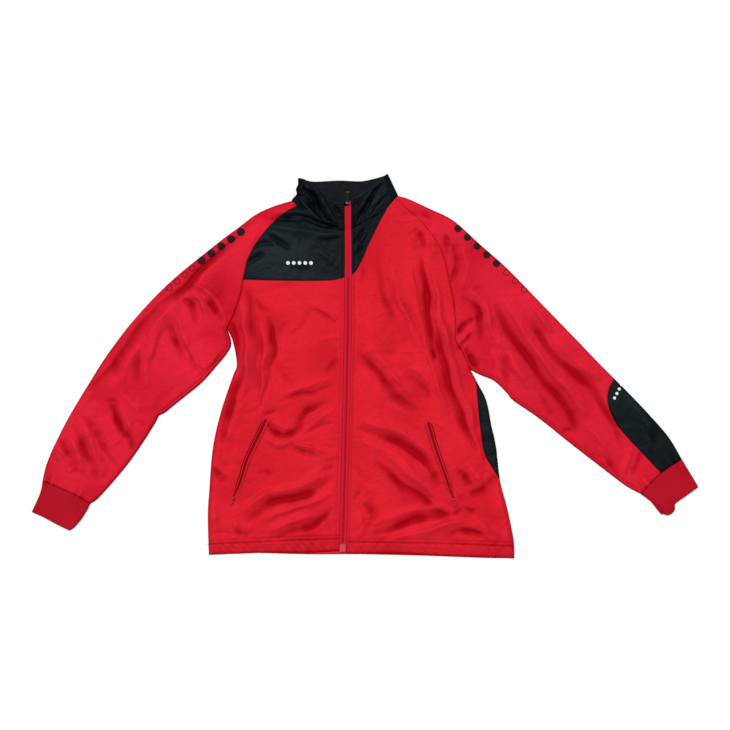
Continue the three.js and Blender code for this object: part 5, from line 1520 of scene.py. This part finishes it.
def zip_strip(side, low, high, step=4.0):
    y = np.linspace(low, high, int((high - low) / step))
    centre = np.stack([zip_x(y), y], axis=-1)
    base = ground(centre) + collar_lift(y)
    profile = np.array(TAPE_PROFILE)
    grid = np.zeros((len(y), len(profile), 3))
    out = eased(y, ZIP_NECK + ENDS_OPEN[0], ZIP_NECK + ENDS_OPEN[1])[:, None]
    reach = profile[None, :, 0] * (1 - out) + (5.4 + 0.2 * profile[None, :, 0]) * out
    reach *= zip_half(y)[:, None] / ZIP_HALF
    grid[..., 0] = centre[:, None, 0] + side * reach
    grid[..., 1] = y[:, None]
    grid[..., 2] = base[:, None] + profile[None, :, 1]
    return grid


for wearer, side, top in (("right", -1, 319), ("left", 1, 331)):
    bm = grid_mesh(zip_strip(side, -373, top), up_at=(10, 3))
    sewn(f"{wearer}_zip_tape", f"zip_tape_{wearer}", bm, zip_tape,
         thickness=TAPE_THICK)

# %% Coil of the front zip
COIL_PITCH = 1.5
COIL_FOOT, COIL_HEAD = -353, 319
LOOP_SIZE = (3.0, 1.1, 0.7)  # mm long, wide and high


def small_bar(bm, place, across, length, width, height, lean=0.0):
    """Rounded bar a few faces round, lying across a heading in the plan."""
    angle = math.atan2(across[1], across[0]) + lean
    turn = Matrix.Rotation(angle, 4, "Z") @ Matrix.Diagonal((length / 2, width / 2, height / 2, 1))
    made = bmesh.ops.create_icosphere(bm, subdivisions=1, radius=1)
    matrix = Matrix.Scale(MM, 4) @ Matrix.Translation(place) @ turn
    bmesh.ops.transform(bm, matrix=matrix, verts=made["verts"])


bm = bmesh.new()
y_places = np.arange(COIL_FOOT, COIL_HEAD, COIL_PITCH / 2)
levels = ground(np.stack([zip_x(y_places), y_places], axis=-1)) + collar_lift(y_places) - 0.55
for k, (y, z) in enumerate(zip(y_places, levels)):
    side = 1 if k % 2 else -1
    small_bar(bm, (float(zip_x(y)) + side * 1.2, y, z), (1, 0), *LOOP_SIZE, lean=0.12 * side)
coil = as_object("zip_coil", bm, zip_coil)
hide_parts("zip_chain")
print("loops of the coil:", len(y_places))

# %% [markdown]
# ## The pockets
# Each pocket is a slit with a rolled welt on its outer side and a short zip on the side of the front zip.
# The opening shows dark, because the pocket bag lies a few millimetres below, and the bag's red is darkened
# as painted shade.

# %% Pockets
WELT_PROFILE = [(0.6, -1.2), (0.8, 0.3), (1.5, 0.9), (2.3, 1.0), (3.1, 0.7), (3.8, -0.4), (4.4, -1.3)]
POCKET_TAPE = [(-9.6, -1.5), (-8.6, -0.9), (-7.6, -0.35), (-6.2, -0.15), (-4.8, -0.3), (-3.9, -0.6),
               (-3.2, -1.2)]
BAG_PROFILE = [(-11.8, -1.8), (-7.0, -1.9), (-2.0, -2.0), (3.0, -1.9), (6.0, -1.6)]
WELT_THICK, BAG_THICK = 0.7, 0.4  # mm
POCKET_LENGTH, POCKET_PITCH = 162, 2.2  # mm, of the opening and of its coil
POCKET_LOOP = (3.2, 1.2, 0.9)  # mm long, wide and high


def pocket_strip(table, profile, low, high, steps=60):
    shares = np.linspace(low, high, steps)
    line = pocket_side(table, shares, np.zeros(steps))
    base = ground(line)
    grid = np.zeros((steps, len(profile), 3))
    taper = slit_taper(shares, 0.08)
    for j, (offset, rise) in enumerate(profile):
        grid[:, j, :2] = pocket_side(table, shares, offset * (0.45 + 0.55 * taper))
        grid[:, j, 2] = base + rise * (0.6 + 0.4 * taper)
    return grid


for side, table in (("right", POCKET_RIGHT), ("left", POCKET_LEFT)):
    bm = grid_mesh(pocket_strip(table, WELT_PROFILE, 0.0, 1.0), up_at=(20, 3))
    sewn(f"{side}_pocket_welt", f"pocket_welt_{side}", bm, red_tricot,
         thickness=WELT_THICK)
    bm = grid_mesh(pocket_strip(table, POCKET_TAPE, 0.02, 0.98), up_at=(20, 3))
    as_object(f"{side}_pocket_tape", bm, pocket_tape, thickness=TAPE_THICK)
    bm = grid_mesh(pocket_strip(table, BAG_PROFILE, 0.0, 1.0), up_at=(20, 2))
    as_object(f"{side}_pocket_bag", bm, pocket_lining, thickness=BAG_THICK)
    bm = bmesh.new()
    shares = np.arange(0.03, 0.94, POCKET_PITCH / POCKET_LENGTH)
    spots = pocket_side(table, shares, -3.2 - 1.3 * np.sin(np.pi * shares ** 0.7))
    for spot, level, next_spot in zip(spots[:-1], ground(spots)[:-1], spots[1:]):
        ahead = next_spot - spot
        small_bar(bm, (*spot, level - 0.8), (ahead[1], -ahead[0]), *POCKET_LOOP, lean=0.5)
    teeth = as_object(f"{side}_pocket_coil", bm, zip_coil)
    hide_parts(f"pocket_chain_{side}")

# %% [markdown]
# ## Topstitching
# A sewing machine leaves a row of even stitches. They run round the hem, down both fronts beside the zip,
# along the collar and round the pockets. Each stitch is a small rounded bar that sits in its groove.

# %% Stitches
STITCH, STITCH_GAP = 2.3, 0.9  # mm
STITCH_WIDE, STITCH_HIGH, STITCH_UP = 0.55, 0.45, 0.12  # mm, the last is the middle above the cloth
POCKET_STITCH = (8.2, -11.8)  # mm from the pocket's line, on its outer side and towards the zip


def stitch_row(bm, line, lift=None, length=STITCH, gap=STITCH_GAP):
    """Stitches along a line of plan points, lying on the upper layer."""
    total = np.linalg.norm(np.diff(line, axis=0), axis=1).sum()
    count = int(total / (length + gap))
    shares = (np.arange(count) + 0.5) / count
    spots = walk(line, shares)
    ahead = walk(line, shares + 0.3 / count) - walk(line, shares - 0.3 / count)
    levels = ground(spots) + (0 if lift is None else lift(spots))
    for spot, step, level in zip(spots, ahead, levels):
        small_bar(bm, (*spot, level + STITCH_UP), step, length, STITCH_WIDE, STITCH_HIGH)
    return count


def beside_zip(offset, low, high):
    y = np.linspace(low, high, 80)
    return np.stack([zip_x(y) + offset, y], axis=-1)


bm = bmesh.new()
count = sum(stitch_row(bm, line) for line in HEM_STITCH)
count += stitch_row(bm, beside_zip(-FRONT_STITCH, -368, 176))
count += stitch_row(bm, beside_zip(FRONT_STITCH, -374, 188))
for table in (POCKET_RIGHT, POCKET_LEFT):
    for offset in POCKET_STITCH:
        line = pocket_side(table, np.linspace(0, 1, 60), np.full(60, offset))
        count += stitch_row(bm, line)
as_object("red_topstitching", bm, thread_red)
print("red stitches:", count)

bm = bmesh.new()
count = stitch_row(bm, beside_zip(-FRONT_STITCH, 180, 268))
count += stitch_row(bm, beside_zip(FRONT_STITCH, 200, 276))
for foot, top in ((NECK_RIGHT, COLLAR_EDGE_RIGHT), (NECK_LEFT, COLLAR_EDGE_LEFT)):
    for share in COLLAR_STITCH:
        shares = np.linspace(0.02, 0.96, 60)
        line = walk(smooth(foot), shares) * (1 - share) + walk(smooth(top), shares) * share
        count += stitch_row(bm, line, lift=lambda spots, share=share: COLLAR_RISE * share - 0.3)
as_object("black_topstitching", bm, thread_black)
print("black stitches:", count)

# %% [markdown]
# ## Metal and plastic
# The sliders, their pull tabs and the bottom box are hard pieces whose shape is right already. They keep
# their packed form and only get a finish.

# %% Finishes of the hard pieces
for node, finish in (("zip_slider", dark_metal), ("zip_pull", dark_metal), ("zip_box", pale_plastic),
                     ("pocket_slider_right", red_metal), ("pocket_pull_right", red_metal),
                     ("pocket_slider_left", red_metal), ("pocket_pull_left", red_metal)):
    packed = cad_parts[node]
    packed.data.materials.clear()
    packed.data.materials.append(finish.material)

# %% [markdown]
# ## The table and the light
# The photograph is a cut-out on white, so the table is a plain pale sheet. One large soft light stands
# nearly overhead, a little to the left and towards the collar. It models the creases, and a pale sky fills
# the shadows.

# %% Table and light
TABLE_WHITE, TABLE_DROP = (0.97, 0.97, 0.97), 0.4 * MM
SUN_FROM, SUN_STRENGTH, SUN_SIZE = Vector((-0.14, 0.26, 0.95)), 2.86, 24
SKY_STRENGTH = 0.2

bm = bmesh.new()
bmesh.ops.create_grid(bm, x_segments=1, y_segments=1, size=6.0)
bmesh.ops.translate(bm, verts=bm.verts, vec=(0, 0, -TABLE_DROP))
table_mesh = bpy.data.meshes.new("table")
bm.to_mesh(table_mesh)
bm.free()
table_top = bpy.data.objects.new("table", table_mesh)
bpy.context.scene.collection.objects.link(table_top)
pale_table = Finish("pale_table", TABLE_WHITE, 0.9, gloss=0.0)
table_mesh.materials.append(pale_table.material)
pale_table.shader.inputs["Base Color"].default_value = (*TABLE_WHITE, 1)
table_top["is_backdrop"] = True

sun_data = bpy.data.lights.new("key", "SUN")
sun_data.energy = SUN_STRENGTH
sun_data.angle = math.radians(SUN_SIZE)
sun = bpy.data.objects.new("key", sun_data)
bpy.context.scene.collection.objects.link(sun)
sun.rotation_euler = (-SUN_FROM).to_track_quat("-Z", "Y").to_euler()
world = bpy.data.worlds.new("studio")
world.use_nodes = True
sky = world.node_tree.nodes["Background"].inputs
sky["Color"].default_value = (1, 1, 1, 1)
sky["Strength"].default_value = SKY_STRENGTH
bpy.context.scene.world = world
bpy.context.scene.view_settings.view_transform = "Standard"

# %% Sizes and the end
low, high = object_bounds()
print("visual box in mm:", [round(v / MM, 1) for v in (*low, *high)])
